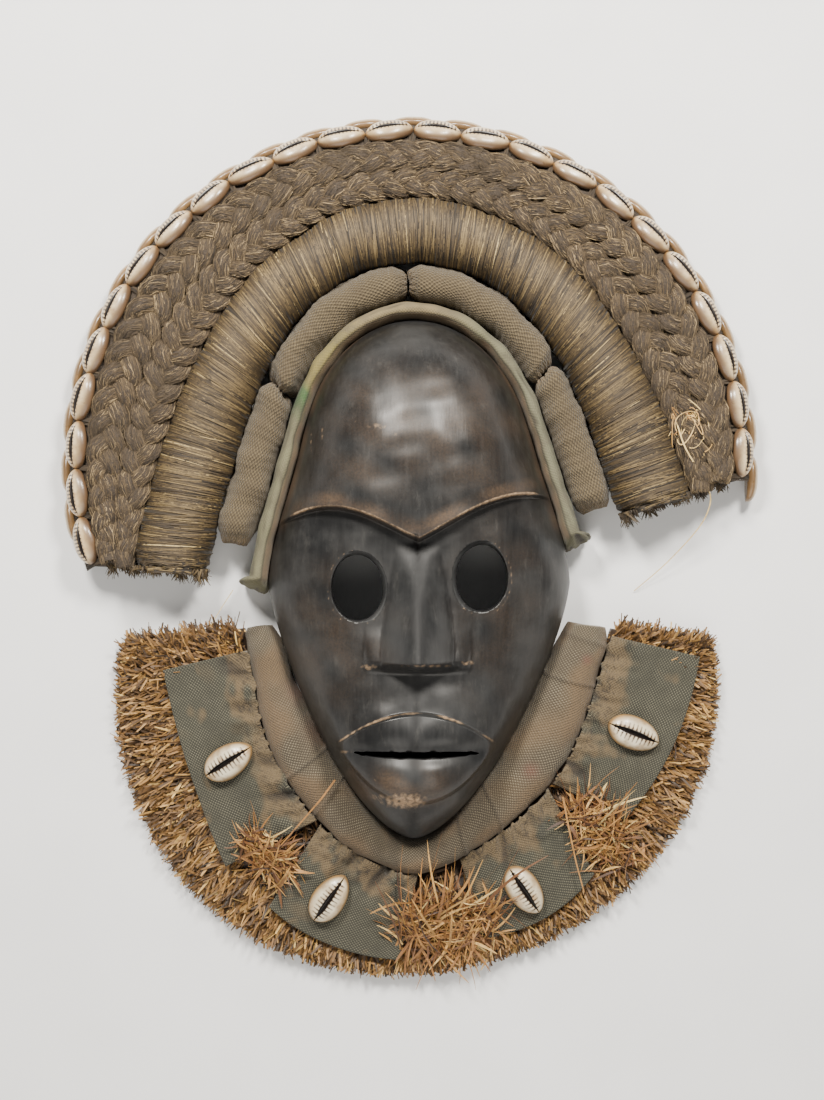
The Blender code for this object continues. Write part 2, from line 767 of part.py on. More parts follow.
def build_border_shells():
    """One shell to each straight side of the fan's sloping border."""
    look = material("cowrie", (0.72, 0.62, 0.46), 0.35)
    drop = FAN_HEIGHT - FAN_EDGE_HEIGHT
    for k in range(FAN_SIDES):
        a = fan_corner(k)
        b = fan_corner(k + 1)
        outer = (a + b) / 2.0
        inner = (fan_shoulder(a) + fan_shoulder(b)) / 2.0
        along_side = Vector((b.x - a.x, b.y - a.y, 0.0)).normalized()
        down = Vector((outer.x - inner.x, outer.y - inner.y, -drop)).normalized()
        up = along_side.cross(down)
        if up.z < 0.0:
            up.negate()
        length = ((a - b).length + (fan_shoulder(a) - fan_shoulder(b)).length) / 2.0 - SHELL_SPACE
        middle = (outer + inner) / 2.0
        origin = Vector((middle.x, middle.y, (FAN_HEIGHT + FAN_EDGE_HEIGHT) / 2.0))
        frame = Matrix((along_side, up.cross(along_side), up)).transposed()
        rings = shell_rings(length, SHELL_WIDTH, SHELL_THICK, SMALL_STATIONS)
        placed = [[origin + frame @ point for point in ring] for ring in rings]
        loft("fan_shell_%02d" % (k + 1), placed, look)


def rim_ring(origin, out, wide, tall):
    """One section of a shell that stands on the upright rim."""
    section = (
        (0.0, -0.34), (0.0, 0.34), (0.45, 0.50), (1.0, 0.20), (1.0, -0.20), (0.45, -0.50),
    )
    ring = []
    for away, up in section:
        reach = GAP + away * RIM_SHELL_THICK * tall
        z = FAN_EDGE_HEIGHT / 2.0 + up * RIM_SHELL_WIDTH * wide
        ring.append(Vector((origin.x + out.x * reach, origin.y + out.y * reach, z)))
    return ring


def build_rim_shells():
    """Shells tip to tip on the upright rim, over its corners, sewn in strings of six."""
    look = material("rim_cowrie", (0.66, 0.55, 0.40), 0.40)
    per_string = FAN_SIDES // 4
    turn = math.radians((FAN_START - FAN_END) / FAN_SIDES / 2.0)
    half = FAN_RADIUS * math.sin(turn)
    reach = half / math.cos(turn)
    for string in range(4):
        rings = []
        for k in range(per_string):
            corner = fan_corner(string * per_string + k + 1)
            out = (corner - FAN_CENTRE).normalized()
            side = Vector((out.y, -out.x))
            rings.append(rim_ring(corner - side * (reach * 0.30), out, 0.95, 1.0))
            rings.append(rim_ring(corner + side * (reach * 0.30), out, 0.90, 0.96))
            if k < per_string - 1:
                after = fan_corner(string * per_string + k + 2)
                middle = (corner + after) / 2.0
                away = (middle - FAN_CENTRE).normalized()
                knot = middle + away * (half * math.tan(turn))
                rings.append(rim_ring(knot, away, 0.30, 0.42))
            else:
                rings.append(rim_ring(corner + side * (reach * 0.94), out, 0.30, 0.42))
            if k == 0:
                rings.insert(0, rim_ring(corner - side * (reach * 0.94), out, 0.30, 0.42))
        loft("rim_shells_%d" % (string + 1), rings, look)


# Collar

def build_collar_roll():
    look = material("coarse_cloth", (0.115, 0.085, 0.062), 0.9)
    near = collar_line(lambda i: GAP)
    far = collar_line(roll_out)
    section = round_section(8, 0.8)
    rings = []
    for i in range(COLLAR_SIDES + 1):
        shrink = COLLAR_ROLL_END if i in (0, COLLAR_SIDES) else 1.0
        rings.append(roll_ring(near[i], far[i], COLLAR_ROLL_HEIGHT, section, shrink))
    loft("collar_roll", rings, look)


def set_back(panel, t):
    """How far the fringe shows past a panel, from 0 at the panel's start to 1 at its end."""
    first, middle, last = panel[4:]
    return blend(first, last, t) + (middle - (first + last) / 2.0) * 4.0 * t * (1.0 - t)


def panel_lines(panel):
    """Matching points along a panel's inner and outer edges."""
    start, end, outer_start, outer_end = panel[:4]
    inner = outside_roll()
    rim = [collar_rim(i) for i in range(COLLAR_SIDES + 1)]
    count = int(math.ceil((end - start) * COLLAR_SIDES))
    near = []
    far = []
    for k in range(count + 1):
        t = k / count
        p = along(inner, blend(start, end, t) * COLLAR_SIDES)
        q = along(rim, blend(outer_start, outer_end, t) * COLLAR_SIDES)
        near.append(p)
        far.append(q + (p - q).normalized() * set_back(panel, t))
    return near, far


def panel_plane(panel):
    """A function that gives the height of the panel's flat top."""
    near, far = panel_lines(panel)
    p = along(near, (len(near) - 1) / 2.0)
    q = along(far, (len(far) - 1) / 2.0)
    way = (q - p).normalized()
    fall = (CANVAS_INNER - CANVAS_OUTER) / (q - p).length

    def top(point):
        return CANVAS_INNER - fall * ((point.x - p.x) * way.x + (point.y - p.y) * way.y)

    return top


def build_panels():
    look = material("grey_canvas", (0.062, 0.066, 0.058), 0.92)
    for number, panel in enumerate(PANELS):
        near, far = panel_lines(panel)
        top = panel_plane(panel)
        plan = near + list(reversed(far))
        prism(
            "canvas_panel_%d" % (number + 1),
            plan,
            lambda p, top=top: top(p) - CANVAS_THICK,
            lambda p, top=top: top(p),
            look,
        )


def build_collar_shells():
    look = material("flat_cowrie", (0.78, 0.73, 0.62), 0.35)
    length, width, thick = COLLAR_SHELL
    for number, (which, t, across, degrees) in enumerate(COLLAR_SHELLS):
        near, far = panel_lines(PANELS[which])
        top = panel_plane(PANELS[which])
        place = t * (len(near) - 1)
        spot = along(near, place).lerp(along(far, place), across)
        ahead = heading(degrees)
        x = Vector((ahead.x, ahead.y, top(spot + ahead) - top(spot))).normalized()
        aside = heading(degrees + 90.0)
        y = Vector((aside.x, aside.y, top(spot + aside) - top(spot))).normalized()
        up = x.cross(y).normalized()
        frame = Matrix((x, up.cross(x), up)).transposed()
        origin = Vector((spot.x, spot.y, top(spot)))
        rings = shell_rings(length, width, thick, LARGE_STATIONS)
        placed = [[origin + frame @ point for point in ring] for ring in rings]
        loft("collar_shell_%d" % (number + 1), placed, look)


def under_panels(place, point):
    """The highest that the fringe may stand at a point below the canvas."""
    t = place / COLLAR_SIDES
    near_by = [panel for panel in PANELS if panel[0] - 0.06 <= t <= panel[1] + 0.06]
    return min(panel_plane(panel)(point) for panel in near_by) - CANVAS_THICK - GAP


def show_past(place):
    """How far the fringe shows past the canvas at a place along the collar."""
    t = place / COLLAR_SIDES
    for panel, after in zip(PANELS, PANELS[1:] + PANELS[-1:]):
        if t <= panel[3] or panel is after:
            share = (t - panel[2]) / (panel[3] - panel[2])
            return set_back(panel, min(max(share, 0.0), 1.0))
        if t < after[2]:
            return blend(panel[6], after[4], (t - panel[3]) / (after[2] - panel[3]))
    return 0.0


def build_fringe():
    """A skirt of cut fibre below the canvas, ragged along its rim."""
    look = material("raffia", (0.33, 0.19, 0.075), 0.8)
    pick = random.Random(7)
    inner = outside_roll()
    rim = [collar_rim(i) for i in range(COLLAR_SIDES + 1)]
    rings = []
    for j in range(2 * COLLAR_SIDES + 1):
        place = j / 2.0
        p = along(inner, place)
        q = along(rim, place)
        way = (q - p).normalized()
        edge = q - way * (show_past(place) - FRINGE_CLEAR)
        crest = edge.lerp(q, FRINGE_CREST_PLACE)
        tip = q + way * (FRINGE_JAGS[j % 2] + pick.uniform(-FRINGE_UNEVEN, FRINGE_UNEVEN))
        high = FRINGE_CREST + pick.uniform(-FRINGE_UNEVEN, FRINGE_UNEVEN)
        rings.append([
            Vector((p.x, p.y, 0.0)),
            Vector((p.x, p.y, under_panels(place, p))),
            Vector((edge.x, edge.y, under_panels(place, edge))),
            Vector((crest.x, crest.y, high)),
            Vector((tip.x, tip.y, FRINGE_TIP + FRINGE_END)),
            Vector((tip.x, tip.y, FRINGE_TIP - FRINGE_END)),
            Vector((crest.x, crest.y, 0.0)),
        ])
    loft("raffia_fringe", rings, look)


def build_tufts():
    """Bundles of blades sewn through between the panels and spread over them."""
    look = material("tuft_raffia", (0.45, 0.26, 0.09), 0.8)
    pick = random.Random(11)
    inner = outside_roll()
    rim = [collar_rim(i) for i in range(COLLAR_SIDES + 1)]
    for number, (t, across, reach, more, lean) in enumerate(TUFTS):
        place = t * COLLAR_SIDES
        root = along(inner, place)
        spot = root.lerp(along(rim, place), across)
        inward = (root - spot).normalized()
        floor = under_panels(place, spot) + 3.0 * GAP
        level = CANVAS_INNER + GAP + TUFT_LIFT
        count = 2 * TUFT_BLADES
        stem = []
        neck = []
        low = []
        high = []
        crown = []
        for k in range(count):
            degrees = 360.0 * k / count
            way = heading(degrees)
            far = reach + more * max(math.cos(math.radians(degrees - lean)), 0.0) ** 2
            far *= pick.uniform(0.85, 1.0) if k % 2 == 0 else 0.42
            foot = spot + way * TUFT_STEM
            tip = spot + way * far
            stem.append(Vector((foot.x, foot.y, floor)))
            neck.append(Vector((foot.x, foot.y, level)))
            over_roll = far * way.dot(inward) > (root - spot).length * 0.75
            end = COLLAR_ROLL_HEIGHT + TUFT_OVER_ROLL if over_roll else level
            low.append(Vector((tip.x, tip.y, end)))
            thin = 0.35 if k % 2 == 0 else 1.0
            high.append(Vector((tip.x, tip.y, end + TUFT_THICK * thin)))
            top = spot + way * min(far * 0.35, TUFT_CROWN)
            crown.append(Vector((top.x, top.y, level + TUFT_THICK * 1.6)))
        loft("raffia_tuft_%d" % (number + 1), [stem, neck, low, high, crown], look)


def main():
    build_face()
    build_binding()
    build_ribbed()
    build_wrapped()
    build_fan()
    build_border_shells()
    build_rim_shells()
    build_collar_roll()
    build_panels()
    build_collar_shells()
    build_fringe()
    build_tufts()


main()
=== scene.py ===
"""Looks of a carved wooden face mask with a fanned head-dress and a fringed collar, lying face up."""

import math

import bmesh
import bpy
import numpy as np
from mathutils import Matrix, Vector


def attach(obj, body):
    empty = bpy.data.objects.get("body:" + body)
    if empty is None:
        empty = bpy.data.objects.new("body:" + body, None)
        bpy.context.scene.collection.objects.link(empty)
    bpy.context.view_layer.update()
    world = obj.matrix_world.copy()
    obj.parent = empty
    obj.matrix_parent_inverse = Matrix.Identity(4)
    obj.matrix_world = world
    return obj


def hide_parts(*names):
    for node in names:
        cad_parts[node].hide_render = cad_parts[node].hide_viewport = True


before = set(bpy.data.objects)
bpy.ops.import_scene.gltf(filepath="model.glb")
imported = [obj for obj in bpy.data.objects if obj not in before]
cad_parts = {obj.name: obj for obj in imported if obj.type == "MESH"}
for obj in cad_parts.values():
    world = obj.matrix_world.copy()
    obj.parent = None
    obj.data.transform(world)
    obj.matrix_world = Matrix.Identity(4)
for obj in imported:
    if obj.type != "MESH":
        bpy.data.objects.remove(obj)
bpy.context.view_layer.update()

# Sizes shared with the frame, in metres, Z up from the floor: first the clearance between pieces
GAP = 0.0003

# Wooden face, seen from the front: Y runs from chin to forehead
FACE_WIDEST_Y = -0.0162
FACE_HALF_WIDTH = 0.0712
FACE_UP = 0.1210
FACE_DOWN = 0.1193
FACE_TOP_Y = FACE_WIDEST_Y + FACE_UP
FACE_CHIN_Y = FACE_WIDEST_Y - FACE_DOWN
TEMPLE_Y = 0.0405
TEMPLE_REACH = 0.0286
TEMPLE_PINCH = 0.115
FACE_MIDDLE_X = 0.0010
FACE_SWAY = 0.0035
SWAY_Y = -0.0150
SWAY_REACH = 0.1100
FACE_EDGE_HEIGHT = 0.022
FOREHEAD_HEIGHT = 0.073
FOREHEAD_CREST_Y = 0.036
CHEEK_HEIGHT = 0.059
KEEL_FALL = 0.012
BROW_Y = 0.004
BROW_STEP = 0.0022
BROW_RISE_LEFT = 0.0142
BROW_RISE_RIGHT = 0.0200
BROW_SPREAD_LEFT = 0.040
BROW_SPREAD_RIGHT = 0.050

# Thickness of the wood at its sides, its edge, the forehead and the cheeks
FACE_WALL = 0.008
EDGE_WALL = 0.009
FOREHEAD_WALL = 0.013
CHEEK_WALL = 0.015
HOLLOW_CREST_Y = 0.030
HOLLOW_TURN_Y = 0.035
HOLLOW_TURN = 0.050

# Nose
NOSE_TOP_Y = 0.001
NOSE_TIP_Y = -0.0510
NOSE_LEFT = 0.0006
NOSE_UNDER = 0.0062
NOSE_RISE = 0.0245
RIDGE_ROUND = 0.0010
NOSE_BRIDGE_HALF = 0.0085
NOSE_BODY_HALF = 0.0178
NOSTRIL_RISE = 0.0095
NOSTRIL_HALF = 0.0230

# Lips and the slit between them
MOUTH_Y = -0.0926
MOUTH_HALF = 0.0366
UPPER_LIP = 0.0190
LOWER_LIP = 0.0245
LIP_CORNER = 0.0035
LIP_CORNER_DROP = 0.0010
LIP_END = 0.0060
LIP_STEP = 0.0042
LIP_LEDGE = 0.0016
LIP_BEND = 0.0090
LOWER_ROLL = 0.0032
LOWER_ROLL_REACH = 0.0060
LOWER_ROLL_PLACE = 0.58
MUZZLE = 0.0105
MUZZLE_ACROSS = 0.026
MUZZLE_ALONG = 0.019
SLIT_HALF = 0.0280
SLIT_HEIGHT = 0.0028
SLIT_END = 0.0003
SLIT_DIP = 0.0035
SLIT_DIP_REACH = 0.0032
SLIT_DIP_END = 0.0140

# Eye holes
EYES = ((-0.0235, -0.0187), (0.0326, -0.0142))
EYE_HALF_WIDTH = 0.0117
EYE_HALF_HEIGHT = 0.0149
EYE_ROUND = 0.0019
EYE_ROUND_DEPTH = 0.0034
EYE_FLARE = 0.0024
CUT_BELOW = 0.005
CUT_ABOVE = 0.030
SLIT_TOOL_TOP = 0.110

# Rolls between the face and the fan, first at the crown, then at the lower ends
INNER_START = 219.0
INNER_END = -25.5
BINDING_WIDTH = 0.0088
BINDING_HEIGHT = 0.0310
RIBBED_CROWN = 0.0178
RIBBED_SIDE = 0.0190
RIBBED_HEIGHT = 0.0295
RIBBED_JOINTS = (0.030, 0.268, 0.529, 0.778, 0.985)
RIBBED_SPACE = 0.02
WRAPPED_CROWN = 0.0300
WRAPPED_SIDE = 0.0345
WRAPPED_HEIGHT = 0.0350

# Fan, an arc of a circle round the crown with one shell to each straight side
FAN_CENTRE = np.array((0.0, 0.0385))
FAN_START = 197.5
FAN_END = -2.2
FAN_SIDES = 24
PLAIT_BAND = 0.0250
FAN_BEVEL = 0.0100
FAN_EDGE_HEIGHT = 0.0140
FAN_HEIGHT = 0.0215
CROWN_BANDS = BINDING_WIDTH + RIBBED_CROWN + WRAPPED_CROWN + PLAIT_BAND + 4.0 * GAP
FAN_RADIUS = FACE_TOP_Y - FAN_CENTRE[1] + CROWN_BANDS + FAN_BEVEL

# Cowrie shells
SHELL_WIDTH = 0.0130
SHELL_THICK = 0.0066
RIM_SHELL_WIDTH = 0.0126
RIM_SHELL_THICK = 0.0052
COLLAR_SHELL = (0.0256, 0.0156, 0.0070)

# Collar round the jaw, an arc of an ellipse that bulges at its lower left
COLLAR_CENTRE = np.array((0.0035, -0.0715))
COLLAR_HALF_WIDTH = 0.1400
COLLAR_HALF_LENGTH = 0.1235
COLLAR_START = 168.0
COLLAR_END = 372.0
COLLAR_BULGE = 0.065
BULGE_AT = 245.0
BULGE_REACH = 28.0
JAW_START = 151.7
JAW_END = 388.5
COLLAR_SIDES = 24
COLLAR_ROLL_HEIGHT = 0.0240
# Width of the padded roll at places along the collar
COLLAR_ROLL = (
    (0.0, 0.0165), (0.18, 0.0242), (0.31, 0.0242), (0.48, 0.0180), (0.80, 0.0285), (1.0, 0.0248),
)
CANVAS_INNER = 0.0175
CANVAS_OUTER = 0.0125
# Each panel: where it starts and ends along the roll and along its outer edge, then how far
# the fringe shows past it at the start, the middle and the end
PANELS = (
    (0.025, 0.325, 0.040, 0.269, 0.0213, 0.0284, 0.0199),
    (0.337, 0.500, 0.345, 0.480, 0.0165, 0.0102, 0.0070),
    (0.565, 0.744, 0.570, 0.695, 0.0105, 0.0092, 0.0145),
    (0.760, 0.992, 0.780, 0.982, 0.0225, 0.0168, 0.0058),
)
# Each collar shell: its panel, its place along and across the panel, and the slit's direction
COLLAR_SHELLS = (
    (0, 0.516, 0.50, 33.0),
    (1, 0.374, 0.54, 55.0),
    (2, 0.417, 0.62, -56.0),
    (3, 0.504, 0.53, -22.0),
)
# Each tuft: its place along and across the collar, reach, extra reach and the way it leans
TUFTS = (
    (0.3070, 0.43, 0.0165, 0.0060, 60.0),
    (0.5320, 0.57, 0.0240, 0.0200, 95.0),
    (0.7460, 0.54, 0.0200, 0.0130, 62.0),
)
UP = np.array((0.0, 0.0, 1.0))

# Steps of the fine surfaces, and rough lengths of the rolls that set how many rows they get
FACE_COLUMN_COUNT = 201
HOLLOW_COLUMN_COUNT = 41
FACE_ROW_STEP = 0.00078
CUT_SIDES = 48
BINDING_STEP, BINDING_RUN = 0.0011, 0.42
RIBBED_STEP, RIBBED_RUN = 0.0009, 0.090
WRAPPED_STEP, WRAPPED_RUN = 0.0007, 0.400
FAN_STEP, FAN_RUN = 0.004, 0.44
COLLAR_STEP, COLLAR_RUN = 0.0008, 0.360
CANVAS_STEP = 0.0009
# How many ribbons of fibre each part has
WINDING_COUNT = 3400
ROLL_END_COUNT = 950
HAIR_COUNT = 4500
THREADS_EACH = 16
FRINGE_COUNT = 15500
FRINGE_END_COUNT = 2600
FRINGE_GAP_COUNT = 420
TANGLE_COUNT = 42

# Photograph: metres to a pixel at a height of 20 mm, its height and middle in pixels, and the camera
PHOTO_SCALE = 0.000466
PHOTO_TALL = 1100
PHOTO_MIDDLE = (412.0, 550.0)
PHOTO_ORIGIN = (409.5, 546.5)
PHOTO_LEVEL = 0.020
CAMERA_HEIGHT = 0.85


# Small helpers on arrays

def blend(a, b, t):
    return a + (b - a) * t


def bell(value, reach):
    return np.exp(-0.5 * (value / reach) ** 2)


def ramp(value):
    value = np.clip(value, 0.0, 1.0)
    return value * value * (3.0 - 2.0 * value)


def power(value, exponent):
    return np.maximum(value, 0.0) ** exponent


def unit(vectors):
    return vectors / np.maximum(np.linalg.norm(vectors, axis=-1, keepdims=True), 1e-12)


def heading(degrees):
    angle = np.radians(degrees)
    return pair(np.cos(angle), np.sin(angle))


def pair(a, b):
    """Two arrays side by side, as plan vectors."""
    return np.stack([a, b], -1)


def quarter(way):
    """Plan vectors turned a quarter to the left."""
    return pair(-way[:, 1], way[:, 0])


def swung(way, angle):
    """Plan vectors swung to the left by an angle in radians."""
    return way * np.cos(angle)[:, None] + quarter(way) * np.sin(angle)[:, None]


def raised(plan, height):
    """Plan points lifted to a height."""
    return np.concatenate([plan, np.broadcast_to(height, plan.shape[:-1])[..., None]], -1)


def wobble(points, size, seed):
    """Smooth noise, mostly from -1 to 1, with lumps about size across."""
    pick = np.random.default_rng(seed)
    total = 0.0
    for _ in range(8):
        way = pick.normal(size=points.shape[-1])
        way *= 2.0 * np.pi / (np.linalg.norm(way) * size * pick.uniform(0.7, 1.6))
        total = total + np.sin(points @ way + pick.uniform(0.0, 2.0 * np.pi))
    return total / 3.2


# Meshes

def piece(name, points, quads, look, slot, nodes=(), tris=None, uv=None, **values):
    """An object from arrays; uv is given for each corner and values for each point."""
    tris = np.empty((0, 3), int) if tris is None else np.asarray(tris)
    quads = np.asarray(quads).reshape(-1, 4)
    mesh = bpy.data.meshes.new(name)
    mesh.vertices.add(len(points))
    mesh.vertices.foreach_set("co", np.asarray(points, np.float32).ravel())
    corners = np.concatenate([quads.ravel(), tris.ravel()]).astype(np.int32)
    mesh.loops.add(len(corners))
    mesh.loops.foreach_set("vertex_index", corners)
    mesh.polygons.add(len(quads) + len(tris))
    starts = [np.arange(len(quads)) * 4, len(quads) * 4 + np.arange(len(tris)) * 3]
    mesh.polygons.foreach_set("loop_start", np.concatenate(starts).astype(np.int32))
    if uv is not None:
        layer = mesh.uv_layers.new(name="UVMap")
        full = np.zeros((len(corners), 2), np.float32)
        full[: len(uv)] = uv
        layer.uv.foreach_set("vector", full.ravel())
    for key, value in values.items():
        kind = "FLOAT" if np.ndim(value) == 1 else "FLOAT_COLOR"
        field = "value" if kind == "FLOAT" else "color"
        attribute = mesh.attributes.new(key, kind, "POINT")
        attribute.data.foreach_set(field, np.asarray(value, np.float32).ravel())
    mesh.update(calc_edges=True)
    mesh.shade_smooth()
    mesh.materials.append(look)
    made = bpy.data.objects.new(name, mesh)
    bpy.context.scene.collection.objects.link(made)
    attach(made, "root")
    if nodes:
        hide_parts(*nodes)
    return made


def grid_quads(rows, columns, closed=False):
    i = np.arange(rows - 1)[:, None] * columns
    j = np.arange(columns if closed else columns - 1)[None, :]
    k = (j + 1) % columns
    return np.stack([i + j, i + k, i + columns + k, i + columns + j], -1).reshape(-1, 4)


def grid_uv(u, v):
    """Corner coordinates for grid_quads, from a place for each row and for each column line."""
    a, b = np.meshgrid(np.arange(len(u) - 1), np.arange(len(v) - 1), indexing="ij")
    corners = [(a, b), (a, b + 1), (a + 1, b + 1), (a + 1, b)]
    return np.stack([pair(u[p], v[q]) for p, q in corners], 2).reshape(-1, 2)


def grid_normals(grid, closed=True):
    """Outward normals of rings of points."""
    if closed:
        around = np.roll(grid, -1, 1) - np.roll(grid, 1, 1)
    else:
        around = np.gradient(grid, axis=1)
    return unit(np.cross(around, np.gradient(grid, axis=0)))


def end_caps(rows, columns):
    """Triangles that close the first and last ring to two added middle points."""
    j = np.arange(columns)
    k = (j + 1) % columns
    first = rows * columns
    last = (rows - 1) * columns
    return np.concatenate([
        np.stack([k, j, np.full(columns, first)], -1),
        np.stack([last + j, last + k, np.full(columns, first + 1)], -1),
    ])


def capped(rings):
    """The points of a closed tube with a middle point for each end."""
    middle = [rings[0].mean(0), rings[-1].mean(0)]
    return np.concatenate([rings.reshape(-1, 3), middle])


def lengths(path):
    """Distance run along a line of points."""
    steps = np.linalg.norm(np.diff(path, axis=0), axis=-1)
    return np.concatenate([[0.0], np.cumsum(steps)])


def strips(paths, widths, facing):
    """Flat ribbons along paths (n, k, 3), their flat side turned to facing."""
    n, k = paths.shape[:2]
    side = unit(np.cross(np.gradient(paths, axis=1), facing)) * widths[..., None] / 2.0
    points = np.stack([paths - side, paths + side], 2).reshape(-1, 3)
    base = (np.arange(n)[:, None] * k + np.arange(k - 1)[None, :]) * 2
    return points, np.stack([base, base + 1, base + 3, base + 2], -1).reshape(-1, 4)


def fibres(name, paths, widths, facing, look, slot, tone, nodes=()):
    """Loose ribbons of fibre as one piece, each with its own tone."""
    points, quads = strips(paths, widths, facing)
    tones = np.repeat(tone, 2 * paths.shape[1])
    return piece(name, points, quads, look, slot, nodes, tone=tones)


def loose_fibres(pick, name, paths, wide, taper, spread, tone, look, slot, node):
    """Ribbons of random width and tone that face upwards, each a little off."""
    count = len(paths)
    widths = pick.uniform(*wide, (count, 1)) * np.asarray(taper)
    facing = unit(UP + pick.normal(0, spread, (count, 3)))[:, None, :]
    tones = np.clip(pick.normal(*tone, count), 0.0, 1.0)
    fibres(name, paths, widths, facing, look, slot, tones, [node])


# Materials

class Look:
    """A material built a node at a time."""

    def __init__(self, name, roughness=0.6, fixed=()):
        self.material = bpy.data.materials.new(name)
        self.material.use_nodes = True
        self.tree = self.material.node_tree
        self.shader = self.tree.nodes["Principled BSDF"]
        self.shader.inputs["Roughness"].default_value = roughness
        for key, value in fixed:
            self.shader.inputs[key].default_value = value

    def add(self, kind, inputs, out=0, **settings):
        node = self.tree.nodes.new("ShaderNode" + kind)
        for key, value in settings.items():
            setattr(node, key, value)
        for key, value in inputs.items():
            self.join(value, node.inputs[key])
        return node.outputs[out]

    def join(self, value, socket):
        if isinstance(value, bpy.types.NodeSocket):
            self.tree.links.new(value, socket)
        else:
            socket.default_value = value

    def place(self, stretch=(1.0, 1.0, 1.0), kind="Object"):
        spot = self.add("TexCoord", {}, kind)
        return self.add("Mapping", {"Vector": spot, "Scale": stretch})

    def noise(self, size, detail=3.0, stretch=(1.0, 1.0, 1.0), kind="Object", rough=0.5):
        inputs = {"Vector": self.place(stretch, kind), "Scale": 1.0 / size}
        inputs.update({"Detail": detail, "Roughness": rough})
        return self.add("TexNoise", inputs)

    def value(self, name):
        return self.add("Attribute", {}, 2, attribute_name=name)

    def colour(self, name):
        return self.add("Attribute", {}, 0, attribute_name=name)

    def ramp(self, amount, *stops):
        """Colours or shares spread over an amount, each stop as (place, value)."""
        made = self.add("ValToRGB", {"Fac": amount})
        elements = made.node.color_ramp.elements
        while len(elements) < len(stops):
            elements.new(1.0)
        for element, (where, shade) in zip(elements, stops):
            element.position = where
            shade = (shade,) * 3 if np.ndim(shade) == 0 else shade
            element.color = (*shade, 1.0)
        return made

    def stain(self, under, shade, amount, low, high, most):
        """A shade laid over where an amount is above low, up to the share most at high."""
        return self.mix(under, shade, self.ramp(amount, (low, 0.0), (high, most)))

    def mix(self, a, b, amount):
        node = self.tree.nodes.new("ShaderNodeMix")
        node.data_type = "RGBA"
        self.join(amount, node.inputs[0])
        for value, socket in ((a, node.inputs[6]), (b, node.inputs[7])):
            value = (*value, 1.0) if isinstance(value, tuple) else value
            self.join(value, socket)
        return node.outputs[2]

    def math(self, how, a, b=0.0):
        return self.add("Math", {0: a, 1: b}, operation=how)

    def plus(self, a, b):
        return self.math("ADD", a, b)

    def times(self, a, b):
        return self.math("MULTIPLY", a, b)

    def run(self, drift=0.0, size=0.006):
        """Distances along and round a piece from its UV map, in metres, a little uneven."""
        along = self.add("SeparateXYZ", {"Vector": self.add("TexCoord", {}, "UV")})
        around = along.node.outputs[1]
        if drift:
            uneven = self.times(self.noise(size, 2.0, kind="UV"), drift)
            along = self.plus(along, uneven)
            around = self.plus(around, uneven)
        return along, around

    def lattice(self, along_pitch, around_pitch, drift=0.0):
        """Staggered threads, from 0 in the gaps to 1 on the crowns."""
        along, around = self.run(drift)
        a = self.math("SINE", self.times(along, math.pi / along_pitch))
        b = self.math("SINE", self.times(around, math.pi / around_pitch))
        return self.plus(self.times(self.times(a, b), 0.5), 0.5)

    def bump(self, height, distance, strength=1.0, below=None):
        inputs = {"Height": height, "Distance": distance, "Strength": strength}
        if below is not None:
            inputs["Normal"] = below
        return self.add("Bump", inputs)

    def done(self, colour, normal=None, roughness=None):
        self.join(colour, self.shader.inputs["Base Color"])
        if normal is not None:
            self.join(normal, self.shader.inputs["Normal"])
        if roughness is not None:
            self.join(roughness, self.shader.inputs["Roughness"])
        return self.material


# Outline of the face and the lines that its neighbours share

def face_middle(y):
    return FACE_MIDDLE_X + FACE_SWAY * np.exp(-(((y - SWAY_Y) / SWAY_REACH) ** 2))


def face_half(y):
    above = np.clip((y - FACE_WIDEST_Y) / FACE_UP, 0.0, 1.0)
    below = np.clip((FACE_WIDEST_Y - y) / FACE_DOWN, 0.0, 1.0)
    pinch = 1.0 - TEMPLE_PINCH * bell(y - TEMPLE_Y, TEMPLE_REACH)
    return FACE_HALF_WIDTH * np.sqrt(1.0 - above ** 2) * (1.0 - below ** 1.2) ** 0.60 * pinch


def face_edge(centre, degrees):
    """Where lines from the centre leave the face."""
    way = heading(degrees)
    near = np.zeros(len(way))
    far = np.full(len(way), 0.25)
    for _ in range(30):
        middle = (near + far) / 2.0
        point = centre + way * middle[:, None]
        inside = np.abs(point[:, 0] - face_middle(point[:, 1])) < face_half(point[:, 1])
        near = np.where(inside, middle, near)
        far = np.where(inside, far, middle)
    return centre + way * near[:, None]


FINE_PLACES = np.linspace(-2.0, 26.0, 561)
CROWN_FOOT = face_edge(FAN_CENTRE, blend(INNER_START, INNER_END, FINE_PLACES / FAN_SIDES))
CROWN_RIM = FAN_CENTRE + heading(blend(FAN_START, FAN_END, FINE_PLACES / FAN_SIDES)) * FAN_RADIUS
JAW_FOOT = face_edge(COLLAR_CENTRE, blend(JAW_START, JAW_END, FINE_PLACES / COLLAR_SIDES))
COLLAR_WAYS = blend(COLLAR_START, COLLAR_END, FINE_PLACES / COLLAR_SIDES)
COLLAR_RIM = COLLAR_CENTRE + heading(COLLAR_WAYS) * np.array((
    COLLAR_HALF_WIDTH, COLLAR_HALF_LENGTH
)) * (1.0 + COLLAR_BULGE * bell(COLLAR_WAYS - BULGE_AT, BULGE_REACH))[:, None]


def on_line(line, place):
    return np.stack([np.interp(place, FINE_PLACES, line[:, axis]) for axis in (0, 1)], -1)


def crown(place, distance):
    """Plan points a distance out from the face towards the fan's rim."""
    foot = on_line(CROWN_FOOT, place)
    return foot + unit(on_line(CROWN_RIM, place) - foot) * np.asarray(distance)[..., None]


def collar(place, distance):
    """Plan points a distance out from the jaw towards the collar's rim."""
    foot = on_line(JAW_FOOT, place)
    return foot + unit(on_line(COLLAR_RIM, place) - foot) * np.asarray(distance)[..., None]


